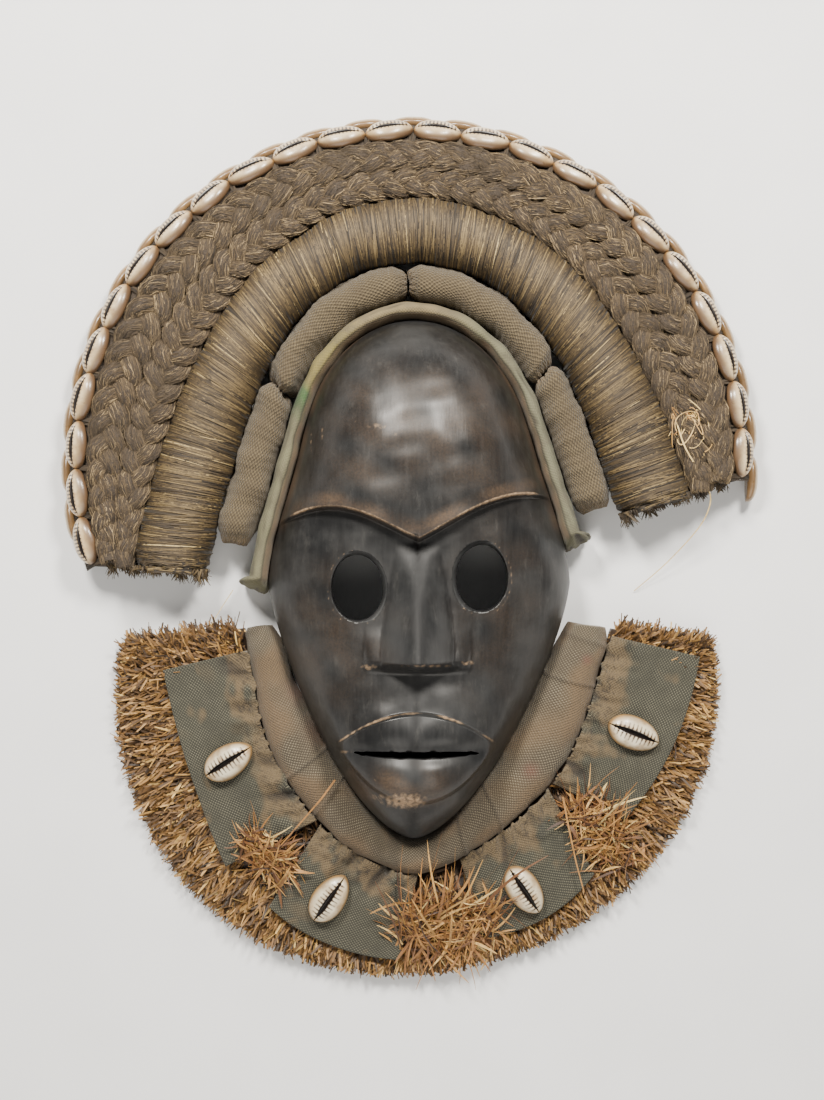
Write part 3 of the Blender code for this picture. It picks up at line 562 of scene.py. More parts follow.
def roll_out(place):
    """How far the padded roll reaches from the jaw."""
    found = 0.0 * place
    for (a, first), (b, last) in zip(COLLAR_ROLL, COLLAR_ROLL[1:]):
        found = found + (last - first) * ramp((place / COLLAR_SIDES - a) / (b - a))
    return GAP + COLLAR_ROLL[0][1] + found


def sideways(place):
    """0 at the crown and 1 at the lower ends."""
    return np.sin(np.pi * (np.clip(place / FAN_SIDES, 0.0, 1.0) - 0.5)) ** 2


def binding_out(place):
    return GAP + BINDING_WIDTH + 0.0 * place


def ribbed_out(place):
    return binding_out(place) + GAP + blend(RIBBED_CROWN, RIBBED_SIDE, sideways(place))


def wrapped_out(place):
    return ribbed_out(place) + GAP + blend(WRAPPED_CROWN, WRAPPED_SIDE, sideways(place))


# Wooden face

def brow_line(x):
    away = x - face_middle(BROW_Y)
    left = np.clip(-away / BROW_SPREAD_LEFT, 0.0, 1.6) * np.pi / 2
    right = np.clip(away / BROW_SPREAD_RIGHT, 0.0, 1.6) * np.pi / 2
    rise = np.where(
        away < 0.0, BROW_RISE_LEFT * np.sin(left) ** 1.2, BROW_RISE_RIGHT * np.sin(right) ** 1.1
    )
    return BROW_Y + rise


def lip_spread(x):
    """0 at the middle of the mouth and 1 at its corners."""
    return np.minimum(((x - face_middle(MOUTH_Y)) / MOUTH_HALF) ** 2, 1.6)


def lip_top(x):
    return MOUTH_Y + UPPER_LIP - (UPPER_LIP - LIP_CORNER) * lip_spread(x)


def lip_bottom(x):
    return MOUTH_Y - LOWER_LIP + (LOWER_LIP + LIP_CORNER_DROP) * lip_spread(x)


def forehead(y, side):
    t = (y - FOREHEAD_CREST_Y) / (FACE_TOP_Y - FOREHEAD_CREST_Y)
    t = np.where(t < 0.0, 0.55 * t, t)
    lift = power(1.0 - np.minimum(np.abs(t), 1.0) ** 2.3, 0.6) * power(1.0 - side ** 2.3, 0.6)
    return FACE_EDGE_HEIGHT + (FOREHEAD_HEIGHT - FACE_EDGE_HEIGHT) * lift


def cheeks(y, side):
    down = np.clip((BROW_Y - y) / (BROW_Y - FACE_CHIN_Y), 0.0, 1.0)
    keel = CHEEK_HEIGHT - KEEL_FALL * down
    lift = power(1.0 - down ** 9, 0.7) * power(1.0 - side ** 3.0, 0.72)
    return FACE_EDGE_HEIGHT + (keel - FACE_EDGE_HEIGHT) * lift


def nose(x, y):
    t = np.clip((NOSE_TOP_Y - y) / (NOSE_TOP_Y - NOSE_TIP_Y), 0.0, 1.0)
    away = np.sqrt((x - face_middle(y) + NOSE_LEFT) ** 2 + RIDGE_ROUND ** 2) - RIDGE_ROUND
    under = 1.0 - ramp((NOSE_TIP_Y - y) / NOSE_UNDER)
    half = blend(NOSE_BRIDGE_HALF, NOSE_BODY_HALF, t)
    ridge = NOSE_RISE * t ** 0.9 * power(1.0 - (away / half) ** 1.15, 0.85)
    wing = NOSTRIL_RISE * t ** 5 * power(1.0 - away / NOSTRIL_HALF, 0.5)
    return np.maximum(ridge, wing) * under


def mouth(x, y):
    away = np.abs(x - face_middle(MOUTH_Y))
    up = y - MOUTH_Y
    swell = MUZZLE * bell(away, MUZZLE_ACROSS) * bell(up, MUZZLE_ALONG)
    inside = ramp((lip_top(x) - y) / LIP_LEDGE) * ramp((y - lip_bottom(x)) / (2.0 * LIP_LEDGE))
    ends = ramp((MOUTH_HALF * 1.04 - away) / LIP_END)
    dip = SLIT_DIP * bell(up, SLIT_DIP_REACH) * ramp((MOUTH_HALF - away) / SLIT_DIP_END)
    full = bell(up + LOWER_ROLL_PLACE * LOWER_LIP, LOWER_ROLL_REACH)
    lower = LOWER_ROLL * full * ramp(1.0 - away / MOUTH_HALF)
    return swell + inside * ends * (LIP_STEP + lower) - dip


def face_height(x, y, side):
    step = ramp((y - brow_line(x) + BROW_STEP) / BROW_STEP)
    base = blend(cheeks(y, side), forehead(y, side), step)
    fade = ramp((1.0 - side) / 0.25)
    return base + (nose(x, y) * (1.0 - step) + mouth(x, y)) * fade


def hollow_height(y, side):
    far = np.where(y > HOLLOW_CREST_Y, FACE_TOP_Y, FACE_CHIN_Y)
    t = np.clip((y - HOLLOW_CREST_Y) / (far - HOLLOW_CREST_Y), 0.0, 1.0)
    lift = power(1.0 - t ** 2.4, 0.6) * power(1.0 - side ** 2.6, 0.6)
    down = ramp((HOLLOW_TURN_Y - y) / HOLLOW_TURN)
    top = blend(FOREHEAD_HEIGHT - FOREHEAD_WALL, CHEEK_HEIGHT - CHEEK_WALL, down)
    low = FACE_EDGE_HEIGHT - EDGE_WALL
    return low + (top - low) * lift


def face_rows(step):
    """(start, brow share, upper lip share, lower lip share) of each fine row, chin to crown."""
    under = MOUTH_Y - LOWER_LIP
    over = MOUTH_Y + UPPER_LIP
    rows = np.array((
        (FACE_CHIN_Y, 0, 0, 0), (blend(FACE_CHIN_Y, under, 0.5), 0, 0, 0.3), (under, 0, 0, 1),
        (under + 2.0 * LIP_LEDGE, 0, 0, 0.9), (MOUTH_Y - LOWER_ROLL_PLACE * LOWER_LIP, 0, 0, 0.4),
        (MOUTH_Y, 0, 0, 0), (MOUTH_Y + 0.55 * UPPER_LIP, 0, 0.5, 0), (over - LIP_LEDGE, 0, 1, 0),
        (over + 0.0006, 0, 1, 0), (over + 0.0060, 0, 0.5, 0), (NOSE_TIP_Y - NOSE_UNDER, 0, 0, 0),
        (NOSE_TIP_Y + 0.0060, 0, 0, 0), (BROW_Y - BROW_STEP, 1, 0, 0), (BROW_Y + 0.0006, 1, 0, 0),
        (BROW_Y + 0.060, 0, 0, 0), (FACE_TOP_Y, 0, 0, 0),
    ))
    marks = [FACE_CHIN_Y, FACE_CHIN_Y + 0.0003, FACE_CHIN_Y + 0.0010]
    start = marks[-1]
    while start < FACE_TOP_Y - 0.0020:
        close = min(abs(start - BROW_Y + BROW_STEP / 2), abs(start - over), abs(start - NOSE_TIP_Y))
        start += step * (0.5 if close < 0.0035 else 1.0)
        marks.append(min(start, FACE_TOP_Y - 0.0010))
    marks += [FACE_TOP_Y - 0.0003, FACE_TOP_Y]
    shares = [np.interp(marks, rows[:, 0], rows[:, k]) for k in (1, 2, 3)]
    return np.array(marks), np.array(shares)


def face_places(columns, step, inset):
    """X, y and side share of a grid over the face, its rows following the brow and the lips."""
    low, high = FACE_CHIN_Y, FACE_TOP_Y
    marks, (brow, upper, lower) = face_rows(step)
    t = np.linspace(-1.0, 1.0, columns)[None, :]
    side = np.sign(t) * (1.0 - (1.0 - np.abs(t)) ** 1.25)
    y = np.repeat(marks[:, None], columns, 1)
    for _ in range(6):
        x = face_middle(y) + side * face_half(y)
        y = marks[:, None] + brow[:, None] * (brow_line(x) - BROW_Y)
        y = y + upper[:, None] * np.maximum(lip_top(x) - MOUTH_Y - UPPER_LIP, -LIP_BEND)
        y = y + lower[:, None] * np.minimum(lip_bottom(x) - MOUTH_Y + LOWER_LIP, LIP_BEND)
        y = np.clip(y, low, high)
    half = np.maximum(face_half(y), 1e-6)
    squeeze = 1.0 - 2.0 * inset / (high - low)
    across = face_middle(y) + side * half * np.maximum(1.0 - inset / half, 0.02)
    return across, (low + high) / 2.0 + (y - (low + high) / 2.0) * squeeze, y, np.abs(side) + 0.0 * y


# Rubbed spots on the wood: place in the photograph, reach across and along in metres, and strength
WORN_SPOTS = (
    (404.0, 801.0, 0.0062, 0.0022, 0.95), (380.0, 797.0, 0.0050, 0.0012, 0.40),
    (369.0, 667.0, 0.0026, 0.0009, 0.55), (468.0, 663.0, 0.0022, 0.0009, 0.50),
    (430.0, 666.0, 0.0100, 0.0005, 0.40), (378.0, 426.0, 0.0040, 0.0012, 0.34),
    (397.0, 434.0, 0.0026, 0.0010, 0.25), (322.0, 432.0, 0.0005, 0.0040, 0.32),
    (311.0, 441.0, 0.0005, 0.0050, 0.30), (355.0, 425.0, 0.0005, 0.0036, 0.22),
    (345.0, 752.0, 0.0030, 0.0006, 0.45), (424.0, 480.0, 0.0020, 0.0016, 0.14),
)
WARM_SPOTS = (
    (430.0, 420.0, 0.030, 0.016, 0.50), (360.0, 470.0, 0.018, 0.010, 0.30),
    (478.0, 470.0, 0.018, 0.010, 0.30), (400.0, 790.0, 0.018, 0.006, 0.80),
    (330.0, 640.0, 0.016, 0.022, 0.30), (500.0, 600.0, 0.014, 0.030, 0.25),
)


def spot_strength(spots, x, y, z):
    """How strongly each point lies within any of the spots."""
    found = 0.0 * x
    for px, py, wide, tall, amount in spots:
        cx, cy = photo_point(px, py, z)
        found = np.maximum(found, amount * bell((x - cx) / wide, 1.0) * bell((y - cy) / tall, 1.0))
    return found


def face_wear_and_highlight(x, y, z, side):
    """How far the dark finish has rubbed through, with painted highlight mixed in: thin broken lines, those
    on the brow's and the upper lip's sharp edges partly painted highlight, a painted highlight round the eye
    holes' rims, tips and rubbed places.
    """
    plan = pair(x, y)
    rough = 0.5 + 0.5 * wobble(plan, 0.013, 3)
    fine = 0.5 + 0.5 * wobble(plan, 0.0022, 4)
    broken = ramp(1.5 * rough - 0.25) * (0.35 + 0.65 * fine)
    inner = ramp((0.95 - side) / 0.10)
    # Brow edge: partly rubbed wood, partly a painted highlight along the sharp edge
    worn = 0.95 * bell(y - brow_line(x) + 0.0002, 0.00048) * (0.35 + 0.65 * broken) * inner
    across = np.abs(x - face_middle(MOUTH_Y))
    corners = ramp((MOUTH_HALF * 1.02 - across) / 0.004)
    # Upper lip's edge: partly rubbed, partly a painted highlight along it
    lip = 0.80 * bell(y - lip_top(x) + 0.0005, 0.00034) * corners * (0.25 + 0.75 * broken)
    worn = np.maximum(worn, lip)
    chin = bell(y - lip_bottom(x) - 0.0066, 0.00035) * ramp((0.024 - across) / 0.008)
    worn = np.maximum(worn, 0.55 * chin * broken)
    # Painted highlight on the rounded rims of the eye holes
    for cx, cy in EYES:
        around = np.hypot((x - cx) / EYE_HALF_WIDTH, (y - cy) / EYE_HALF_HEIGHT)
        worn = np.maximum(worn, 0.42 * bell(around - 1.13, 0.018) * (0.3 + 0.7 * fine))
    spots = spot_strength(WORN_SPOTS, x, y, z) * (0.45 + 0.75 * fine)
    return np.clip(np.maximum(worn, spots), 0.0, 1.0)


def face_warmth(x, y, z, side):
    """Places where the finish is thin and looks reddish brown."""
    rough = 0.5 + 0.5 * wobble(pair(x, y), 0.016, 8)
    under_brow = 0.85 * bell(y - brow_line(x) - 0.0026, 0.0026) * ramp((0.97 - side) / 0.1)
    edge = 0.8 * ramp((side - 0.91) / 0.07) * ramp((y - BROW_Y) / 0.01)
    spots = spot_strength(WARM_SPOTS, x, y, z)
    return np.clip(np.maximum(np.maximum(under_brow, spots), edge) * (0.3 + rough), 0.0, 1.0)


def photo_point(px, py, z):
    """Where the camera's line through a pixel meets a height."""
    nearer = (CAMERA_HEIGHT - z) / (CAMERA_HEIGHT - PHOTO_LEVEL)
    cx = (PHOTO_MIDDLE[0] - PHOTO_ORIGIN[0]) * PHOTO_SCALE
    cy = (PHOTO_ORIGIN[1] - PHOTO_MIDDLE[1]) * PHOTO_SCALE
    x = cx + (px - PHOTO_MIDDLE[0]) * PHOTO_SCALE * nearer
    return x, cy - (py - PHOTO_MIDDLE[1]) * PHOTO_SCALE * nearer


def face_crack(x, y):
    """A split that runs down from the middle of the brow."""
    run = (BROW_Y + 0.0016 - y) / 0.0125
    middle = face_middle(BROW_Y) - 0.0018 + 0.0016 * run + 0.0003 * np.sin(run * 17.0)
    return bell((x - middle) / blend(0.00045, 0.0002, np.clip(run, 0, 1)), 1.0) * ((run > 0) & (run < 1))


def cutter(name, outlines):
    """A closed tool from rings of points."""
    rings = np.stack(outlines)
    mesh = bpy.data.meshes.new(name)
    rows, columns = rings.shape[:2]
    quads = grid_quads(rows, columns, True)[:, ::-1].tolist()
    tris = end_caps(rows, columns)[:, ::-1].tolist()
    mesh.from_pydata(capped(rings).tolist(), [], quads + tris)
    made = bpy.data.objects.new(name, mesh)
    bpy.context.scene.collection.objects.link(made)
    weld(made, 1e-7)
    return made


def eye_tool(name, centre):
    x, y = centre
    half = face_half(np.array(y))
    surface = float(cheeks(np.array(y), np.abs(x - face_middle(y)) / half))
    levels = [(-CUT_BELOW, 0.0)]
    for turn in np.linspace(0.0, 1.0, 6) * math.pi / 2:
        rise = EYE_ROUND_DEPTH * math.sin(turn)
        levels.append((surface - EYE_ROUND_DEPTH + rise, EYE_ROUND * (1 - math.cos(turn))))
    levels.append((surface + CUT_ABOVE, EYE_FLARE))
    way = heading(360.0 * np.arange(CUT_SIDES) / CUT_SIDES)
    rings = []
    for z, more in levels:
        plan = np.array(centre) + way * np.array((EYE_HALF_WIDTH + more, EYE_HALF_HEIGHT + more))
        rings.append(raised(plan, z))
    return cutter(name, rings)


def slit_tool():
    t = np.sin(np.linspace(-np.pi / 2, np.pi / 2, 25))
    thick = SLIT_END + SLIT_HEIGHT / 2.0 * power(1.0 - t * t, 0.6)
    ragged = 0.00025 * np.sin(t * 31.0)
    middle = face_middle(MOUTH_Y)
    lower = pair(middle + t * SLIT_HALF, MOUTH_Y - thick + ragged)
    upper = pair(middle + t * SLIT_HALF, MOUTH_Y + thick + ragged)[::-1]
    plan = np.concatenate([lower, upper])
    return cutter("mouth_tool", [raised(plan, -CUT_BELOW), raised(plan, SLIT_TOOL_TOP)])


def cut(target, tools):
    """Takes the tools away from the target and removes them."""
    for tool in tools:
        step = target.modifiers.new(tool.name, "BOOLEAN")
        step.operation = "DIFFERENCE"
        step.solver = "EXACT"
        step.object = tool
    graph = bpy.context.evaluated_depsgraph_get()
    mesh = bpy.data.meshes.new_from_object(target.evaluated_get(graph))
    target.modifiers.clear()
    target.data = mesh
    for tool in tools:
        bpy.data.objects.remove(tool, do_unlink=True)


def wood_look():
    look = Look("polished_wood", 0.3, [("Specular IOR Level", 0.42)])
    grain = look.noise(0.0016, 5.0, (1.0, 0.12, 0.4))
    cloud = look.noise(0.030, 5.0, rough=0.6)
    dust = look.noise(0.0011, 6.0, rough=0.7)
    worn = look.value("worn")
    dark = look.ramp(grain, (0.32, (0.0052, 0.0056, 0.0062)), (0.72, (0.0125, 0.0130, 0.0135)))
    dark = look.stain(dark, (0.0330, 0.0335, 0.0335), cloud, 0.44, 0.70, 0.75)
    scuffs = look.noise(0.0045, 6.0, (1.0, 0.30, 1.0), rough=0.75)
    dark = look.stain(dark, (0.056, 0.054, 0.050), scuffs, 0.55, 0.74, 0.45)
    warmth = look.times(look.value("warm"), look.ramp(dust, (0.30, 0.25), (0.62, 1.0)))
    dark = look.mix(dark, (0.100, 0.064, 0.038), look.times(warmth, 0.75))
    # Tan where the finish has rubbed through; it also carries the painted highlights on the brow, lip and
    # eye-rim edges
    edge = look.times(worn, look.ramp(dust, (0.25, 0.60), (0.55, 1.0)))
    tan = look.ramp(dust, (0.30, (0.170, 0.105, 0.060)), (0.65, (0.440, 0.300, 0.175)))
    colour = look.stain(dark, tan, edge, 0.16, 0.62, 0.90)
    colour = look.mix(colour, (0.003, 0.002, 0.002), look.value("crack"))
    rough = look.ramp(cloud, (0.30, 0.31), (0.70, 0.46))
    rough = look.mix(rough, (0.62, 0.62, 0.62), worn)
    rough = look.mix(rough, (0.74, 0.74, 0.74), look.value("ridge"))
    rough = look.mix(rough, (0.85, 0.85, 0.85), look.value("inside"))
    fine = look.bump(grain, 0.00010, 0.5)
    tooled = look.bump(look.noise(0.0075, 2.0), 0.0003, 0.28, fine)
    return look.done(colour, tooled, rough)


def nose_dulling(x, y):
    """How matt the wood is along the nose ridge, where handling has dried it."""
    off = x - face_middle(y) + NOSE_LEFT
    below = brow_line(x) - y
    strip = bell(off, 0.0022) * ramp((below - 0.0015) / 0.002)
    wings = 0.8 * bell(off, 0.011) * bell(below - 0.0055, 0.0035)
    return np.maximum(strip, wings)


def build_face():
    x, plan_y, y, side = face_places(FACE_COLUMN_COUNT, FACE_ROW_STEP, 0.0)
    z = face_height(x, y, side)
    crack = face_crack(x, y)
    carved = 0.00022 * wobble(pair(x, y), 0.012, 21) * ramp((1.0 - side) / 0.1)
    front = np.stack([x, plan_y, z + carved - 0.0011 * crack], -1)
    rows = len(x)
    hollow_x, hollow_y, rough_y, share = face_places(HOLLOW_COLUMN_COUNT, FACE_ROW_STEP, FACE_WALL)
    adzed = 0.0005 * wobble(pair(hollow_x, hollow_y), 0.014, 22)
    back = np.stack([hollow_x, hollow_y, hollow_height(rough_y, share) + adzed], -1)
    parts = [front.reshape(-1, 3), back.reshape(-1, 3)]
    quads = [
        grid_quads(rows, FACE_COLUMN_COUNT), grid_quads(rows, HOLLOW_COLUMN_COUNT)[:, ::-1] + x.size,
    ]
    base = len(parts[0]) + len(parts[1])

    def loop_of(columns, start):
        left = start + np.arange(rows) * columns
        return np.concatenate([left, (left + columns - 1)[::-1]])

    outer = loop_of(FACE_COLUMN_COUNT, 0)
    inner = loop_of(HOLLOW_COLUMN_COUNT, len(parts[0]))
    every = np.concatenate(parts)
    count = len(outer)
    foot_out = raised(every[outer][:, :2], 0.0)
    foot_in = raised(every[inner][:, :2], 0.0)
    parts += [foot_out, foot_in]
    ring = [outer, base + np.arange(count), base + count + np.arange(count), inner]
    for a, b in zip(ring, ring[1:]):
        quads.append(np.stack([np.roll(a, -1), a, b, np.roll(b, -1)], -1))
    total = sum(len(part) for part in parts)
    padding = total - x.size
    marks = {
        "worn": face_wear_and_highlight(x, y, z, side), "warm": face_warmth(x, y, z, side),
        "crack": crack, "ridge": nose_dulling(x, y),
    }
    marks = {key: np.concatenate([mark.ravel(), np.zeros(padding)]) for key, mark in marks.items()}
    made = piece(
        "face", np.concatenate(parts), np.concatenate(quads), wood_look(), "face_wood", ["face_mask"],
        inside=np.concatenate([np.zeros(x.size), np.ones(padding)]), **marks,
    )
    weld(made, 1e-6)
    cut(made, [eye_tool("eye_tool_%d" % k, eye) for k, eye in enumerate(EYES)] + [slit_tool()])


def weld(target, within):
    """Joins points that lie together and turns every face outwards."""
    shape = bmesh.new()
    shape.from_mesh(target.data)
    bmesh.ops.remove_doubles(shape, verts=shape.verts, dist=within)
    bmesh.ops.recalc_face_normals(shape, faces=shape.faces)
    shape.to_mesh(target.data)
    shape.free()


# Rolls of the head-dress

def round_section(sides, squareness):
    """(across, up) from 0 to 1 round a roll that lies on a flat underside."""
    angle = np.radians(-90.0 + 360.0 * np.arange(sides) / sides)
    c = np.sign(np.cos(angle)) * np.abs(np.cos(angle)) ** squareness
    s = np.sign(np.sin(angle)) * np.abs(np.sin(angle)) ** squareness
    s = np.maximum(s, -0.90)
    return 0.5 + 0.5 * c / c.max(), (s - s.min()) / (s.max() - s.min())


def roll_rings(near, far, height, section, shrink=1.0):
    """Rings of a roll between two plan lines, each drawn in towards its middle."""
    across, up = section
    shrink = np.broadcast_to(shrink, len(near))[:, None]
    height = np.broadcast_to(height, len(near))[:, None]
    t = 0.5 + (across[None, :] - 0.5) * shrink
    plan = near[:, None, :] + (far - near)[:, None, :] * t[..., None]
    return raised(plan, height * (0.5 + (up[None, :] - 0.5) * shrink))


def ring_measures(rings):
    """Distance run along the roll, and round it for each line of points and back to the first."""
    run = lengths(rings.mean(1))
    loop = np.concatenate([rings[len(rings) // 2], rings[len(rings) // 2][:1]])
    return run, lengths(loop)


def roll_grid(rings):
    """Distances along and round a roll for each of its points."""
    run, around = ring_measures(rings)
    return np.meshgrid(run, around[:-1], indexing="ij")


def swollen(rings, shift):
    """Rings moved out along their normals, but not through the floor."""
    rings = rings + grid_normals(rings) * shift[..., None]
    rings[..., 2] = np.maximum(rings[..., 2], 0.0)
    return rings


def with_ends(values):
    """Values for a roll's points, then those for the middle points of its two ends."""
    return np.concatenate([values.reshape(-1, *values.shape[2:]), values[0, :1], values[-1, :1]])


def tube(name, rings, look, slot, nodes, **values):
    """A closed roll from rings, with its lengths in metres as its UV map."""
    rows, columns = rings.shape[:2]
    run, around = ring_measures(rings)
    ends = {key: with_ends(value) for key, value in values.items()}
    return piece(
        name, capped(rings), grid_quads(rows, columns, True), look, slot, nodes,
        end_caps(rows, columns), grid_uv(run, around), **ends,
    )


def places_between(start, end, step, reach):
    """Evenly spaced places along the stations, about a step apart in metres."""
    return np.linspace(start, end, max(int(round(reach / step)), 2) + 1)


def binding_look():
    look = Look("green_cloth", 0.9, [("Sheen Weight", 0.06), ("Sheen Roughness", 0.5)])
    cloud = look.noise(0.009, 5.0, rough=0.6)
    grit = look.noise(0.0007, 4.0)
    weave = look.lattice(0.0007, 0.0007, 0.0004)
    tint = look.stain(look.colour("tint"), (0.080, 0.066, 0.045), cloud, 0.42, 0.72, 0.70)
    tint = look.stain(tint, (0.22, 0.19, 0.12), grit, 0.55, 0.80, 0.25)
    # Painted shade: darker in the creases and along the crease line on top
    tint = look.mix(tint, (0.030, 0.024, 0.018), look.value("fold"))
    tint = look.mix(tint, look.mix((0.10, 0.068, 0.040), (0.24, 0.165, 0.095), grit), look.value("seam"))
    fine = look.bump(weave, 0.0002, 0.8)
    return look.done(tint, look.bump(cloud, 0.0005, 0.5, fine))


def tint_stops(place, stops):
    """A colour for each place, run smoothly between named stops of (place, colour)."""
    marks = [where for where, shade in stops]
    shades = np.array([shade for where, shade in stops])
    return np.stack([np.interp(place, marks, shades[:, k]) for k in range(3)], -1)


GREY_GREEN = (0.122, 0.116, 0.064)
TAN_CLOTH = (0.162, 0.125, 0.062)
YELLOW_CLOTH = (0.185, 0.150, 0.040)
LEAF_GREEN = (0.040, 0.078, 0.026)
TEAL_GREY = (0.112, 0.110, 0.067)
BINDING_TINTS = (
    (-0.9, GREY_GREEN), (5.6, GREY_GREEN), (6.3, LEAF_GREEN), (7.1, LEAF_GREEN), (7.6, YELLOW_CLOTH),
    (9.4, YELLOW_CLOTH), (11.0, TAN_CLOTH), (13.5, TAN_CLOTH), (15.5, GREY_GREEN), (18.0, TEAL_GREY),
    (24.9, TEAL_GREY),
)


def build_binding():
    """A soft cloth band, folded along its length, with its ends turned outwards."""
    place = places_between(0.0, float(FAN_SIDES), BINDING_STEP, BINDING_RUN)
    near = crown(place, GAP)
    far = crown(place, binding_out(place))
    left = tail_places(near[0], far[0], -1.0)
    right = tail_places(near[-1], far[-1], 1.0)
    near = np.concatenate([left[0][::-1], near, right[0]])
    far = np.concatenate([left[1][::-1], far, right[1]])
    height = np.concatenate([left[2][::-1], np.full(len(place), BINDING_HEIGHT), right[2]])
    whole = np.concatenate([
        np.linspace(-1.0, 0.0, len(left[0]) + 1)[:-1], place,
        np.linspace(FAN_SIDES, FAN_SIDES + 1.0, len(right[0]) + 1)[1:],
    ])
    section = round_section(36, 0.85)
    rings = roll_rings(near, far, height, section)
    u, v = roll_grid(rings)
    tail = ramp(np.maximum(-whole, whole - FAN_SIDES) * 3.0)[:, None]
    lumps = wobble(pair(u, v * 0.35), 0.016, 31)
    creases = power(wobble(pair(u * 0.35 + v, v - 0.3 * u), 0.007, 32), 1.0)
    shift = 0.00030 * lumps - (0.00022 + 0.0011 * tail) * creases
    rings = swollen(rings, shift)
    across, up = section
    seam = ramp((0.30 - across) / 0.10) * ramp((up - 0.30) / 0.2)
    seam = seam[None, :] * (0.75 + 0.25 * wobble(u[..., None], 0.011, 33)) * (1.0 - tail)
    # Painted shade along the crease line on top of the band and in the pushed-in creases, more so at the
    # turned ends
    crease = 0.8 * bell(across - 0.31, 0.030) * (up > 0.5) * (1.0 - tail)
    fold = np.maximum(ramp(creases * (0.35 + 0.5 * tail)), crease)
    shade = tint_stops(whole, BINDING_TINTS)[:, None, :] * (1.0 + 0.05 * lumps)[..., None]
    shade = np.concatenate([shade, np.ones(lumps.shape + (1,))], -1)
    made = tube(
        "binding", rings, binding_look(), "green_cloth", ["green_binding"],
        fold=fold, seam=np.clip(seam, 0.0, 1.0), tint=shade,
    )


TAIL_ROWS = 16
TAIL_DROP = 0.0095
TAIL_OUT = 0.0085


def tail_places(near, far, way):
    """Plan lines and heights of the lump where the band turns outwards below the rolls."""
    t = np.linspace(0.0, 1.0, TAIL_ROWS + 1)[1:, None]
    down = np.array((0.0, -TAIL_DROP))
    out = np.array((way, 0.0))
    near_line = near + down * t ** 0.9
    far_line = far + down * 0.25 * t + out * TAIL_OUT * t ** 0.7
    height = BINDING_HEIGHT * (1.0 - 0.42 * t[:, 0] ** 1.5)
    squeeze = 1.0 - 0.35 * t ** 4
    middle = (near_line + far_line) / 2.0
    return middle + (near_line - middle) * squeeze, middle + (far_line - middle) * squeeze, height


RIB_PITCH = 0.00120
BEAD_PITCH = 0.00080


def ribbed_look():
    look = Look("ribbed_cloth", 0.92, [("Sheen Weight", 0.12)])
    cloud = look.noise(0.011, 5.0, rough=0.6)
    grit = look.noise(0.0006, 4.0)
    beads = look.lattice(RIB_PITCH, BEAD_PITCH, 0.0016)
    low = look.mix((0.0374, 0.0281, 0.0150), (0.0663, 0.0459, 0.0228), cloud)
    high = look.ramp(grit, (0.35, (0.0897, 0.0681, 0.0360)), (0.72, (0.1677, 0.1258, 0.0648)))
    high = look.stain(high, (0.0819, 0.0607, 0.0330), cloud, 0.45, 0.65, 0.75)
    tint = look.stain(low, high, beads, 0.34, 0.72, 1.0)
    tint = look.mix(tint, (0.1482, 0.0999, 0.0480), look.times(look.value("seam"), grit))
    return look.done(tint, look.bump(grit, 0.0004, 0.9, look.bump(beads, 0.0006, 0.9)))


def build_ribbed():
    """Four stuffed rolls of ribbed cloth, gathered at their ends."""
    look = ribbed_look()
    names = ("left_lower", "left_upper", "right_upper", "right_lower")
    for number, name in enumerate(names):
        a = RIBBED_JOINTS[number] * FAN_SIDES + RIBBED_SPACE
        b = RIBBED_JOINTS[number + 1] * FAN_SIDES - RIBBED_SPACE
        place = places_between(a, b, RIBBED_STEP, RIBBED_RUN)
        near = crown(place, binding_out(place) + GAP)
        far = crown(place, ribbed_out(place))
        ends = np.minimum(place - a, b - place)
        shrink = 1.0 - 0.42 * power(1.0 - ends / 0.55, 2.2)
        rings = roll_rings(near, far, RIBBED_HEIGHT, round_section(72, 0.85), shrink)
        u, v = roll_grid(rings)
        slack = wobble(pair(u, v), 0.018, 50 + number)
        rib = np.sin(u / 0.0046 * 2.0 * np.pi + 1.5 * slack)
        pucker = np.sin(v / 0.0042 * 2 * np.pi) * power(1.0 - ends / 0.5, 1.5)[:, None]
        shift = 0.00016 * rib + 0.0007 * slack - 0.0009 * power(pucker, 1.0)
        rings = swollen(rings, shift)
        seam = np.clip(power(1.0 - ends / 0.22, 1.0)[:, None] * (1.1 + 0.5 * slack), 0.0, 1.0)
        made = tube("roll_" + name, rings, look, "ribbed_cloth", ["ribbed_roll_" + name], seam=seam)


WINDING_PITCH = 0.00115


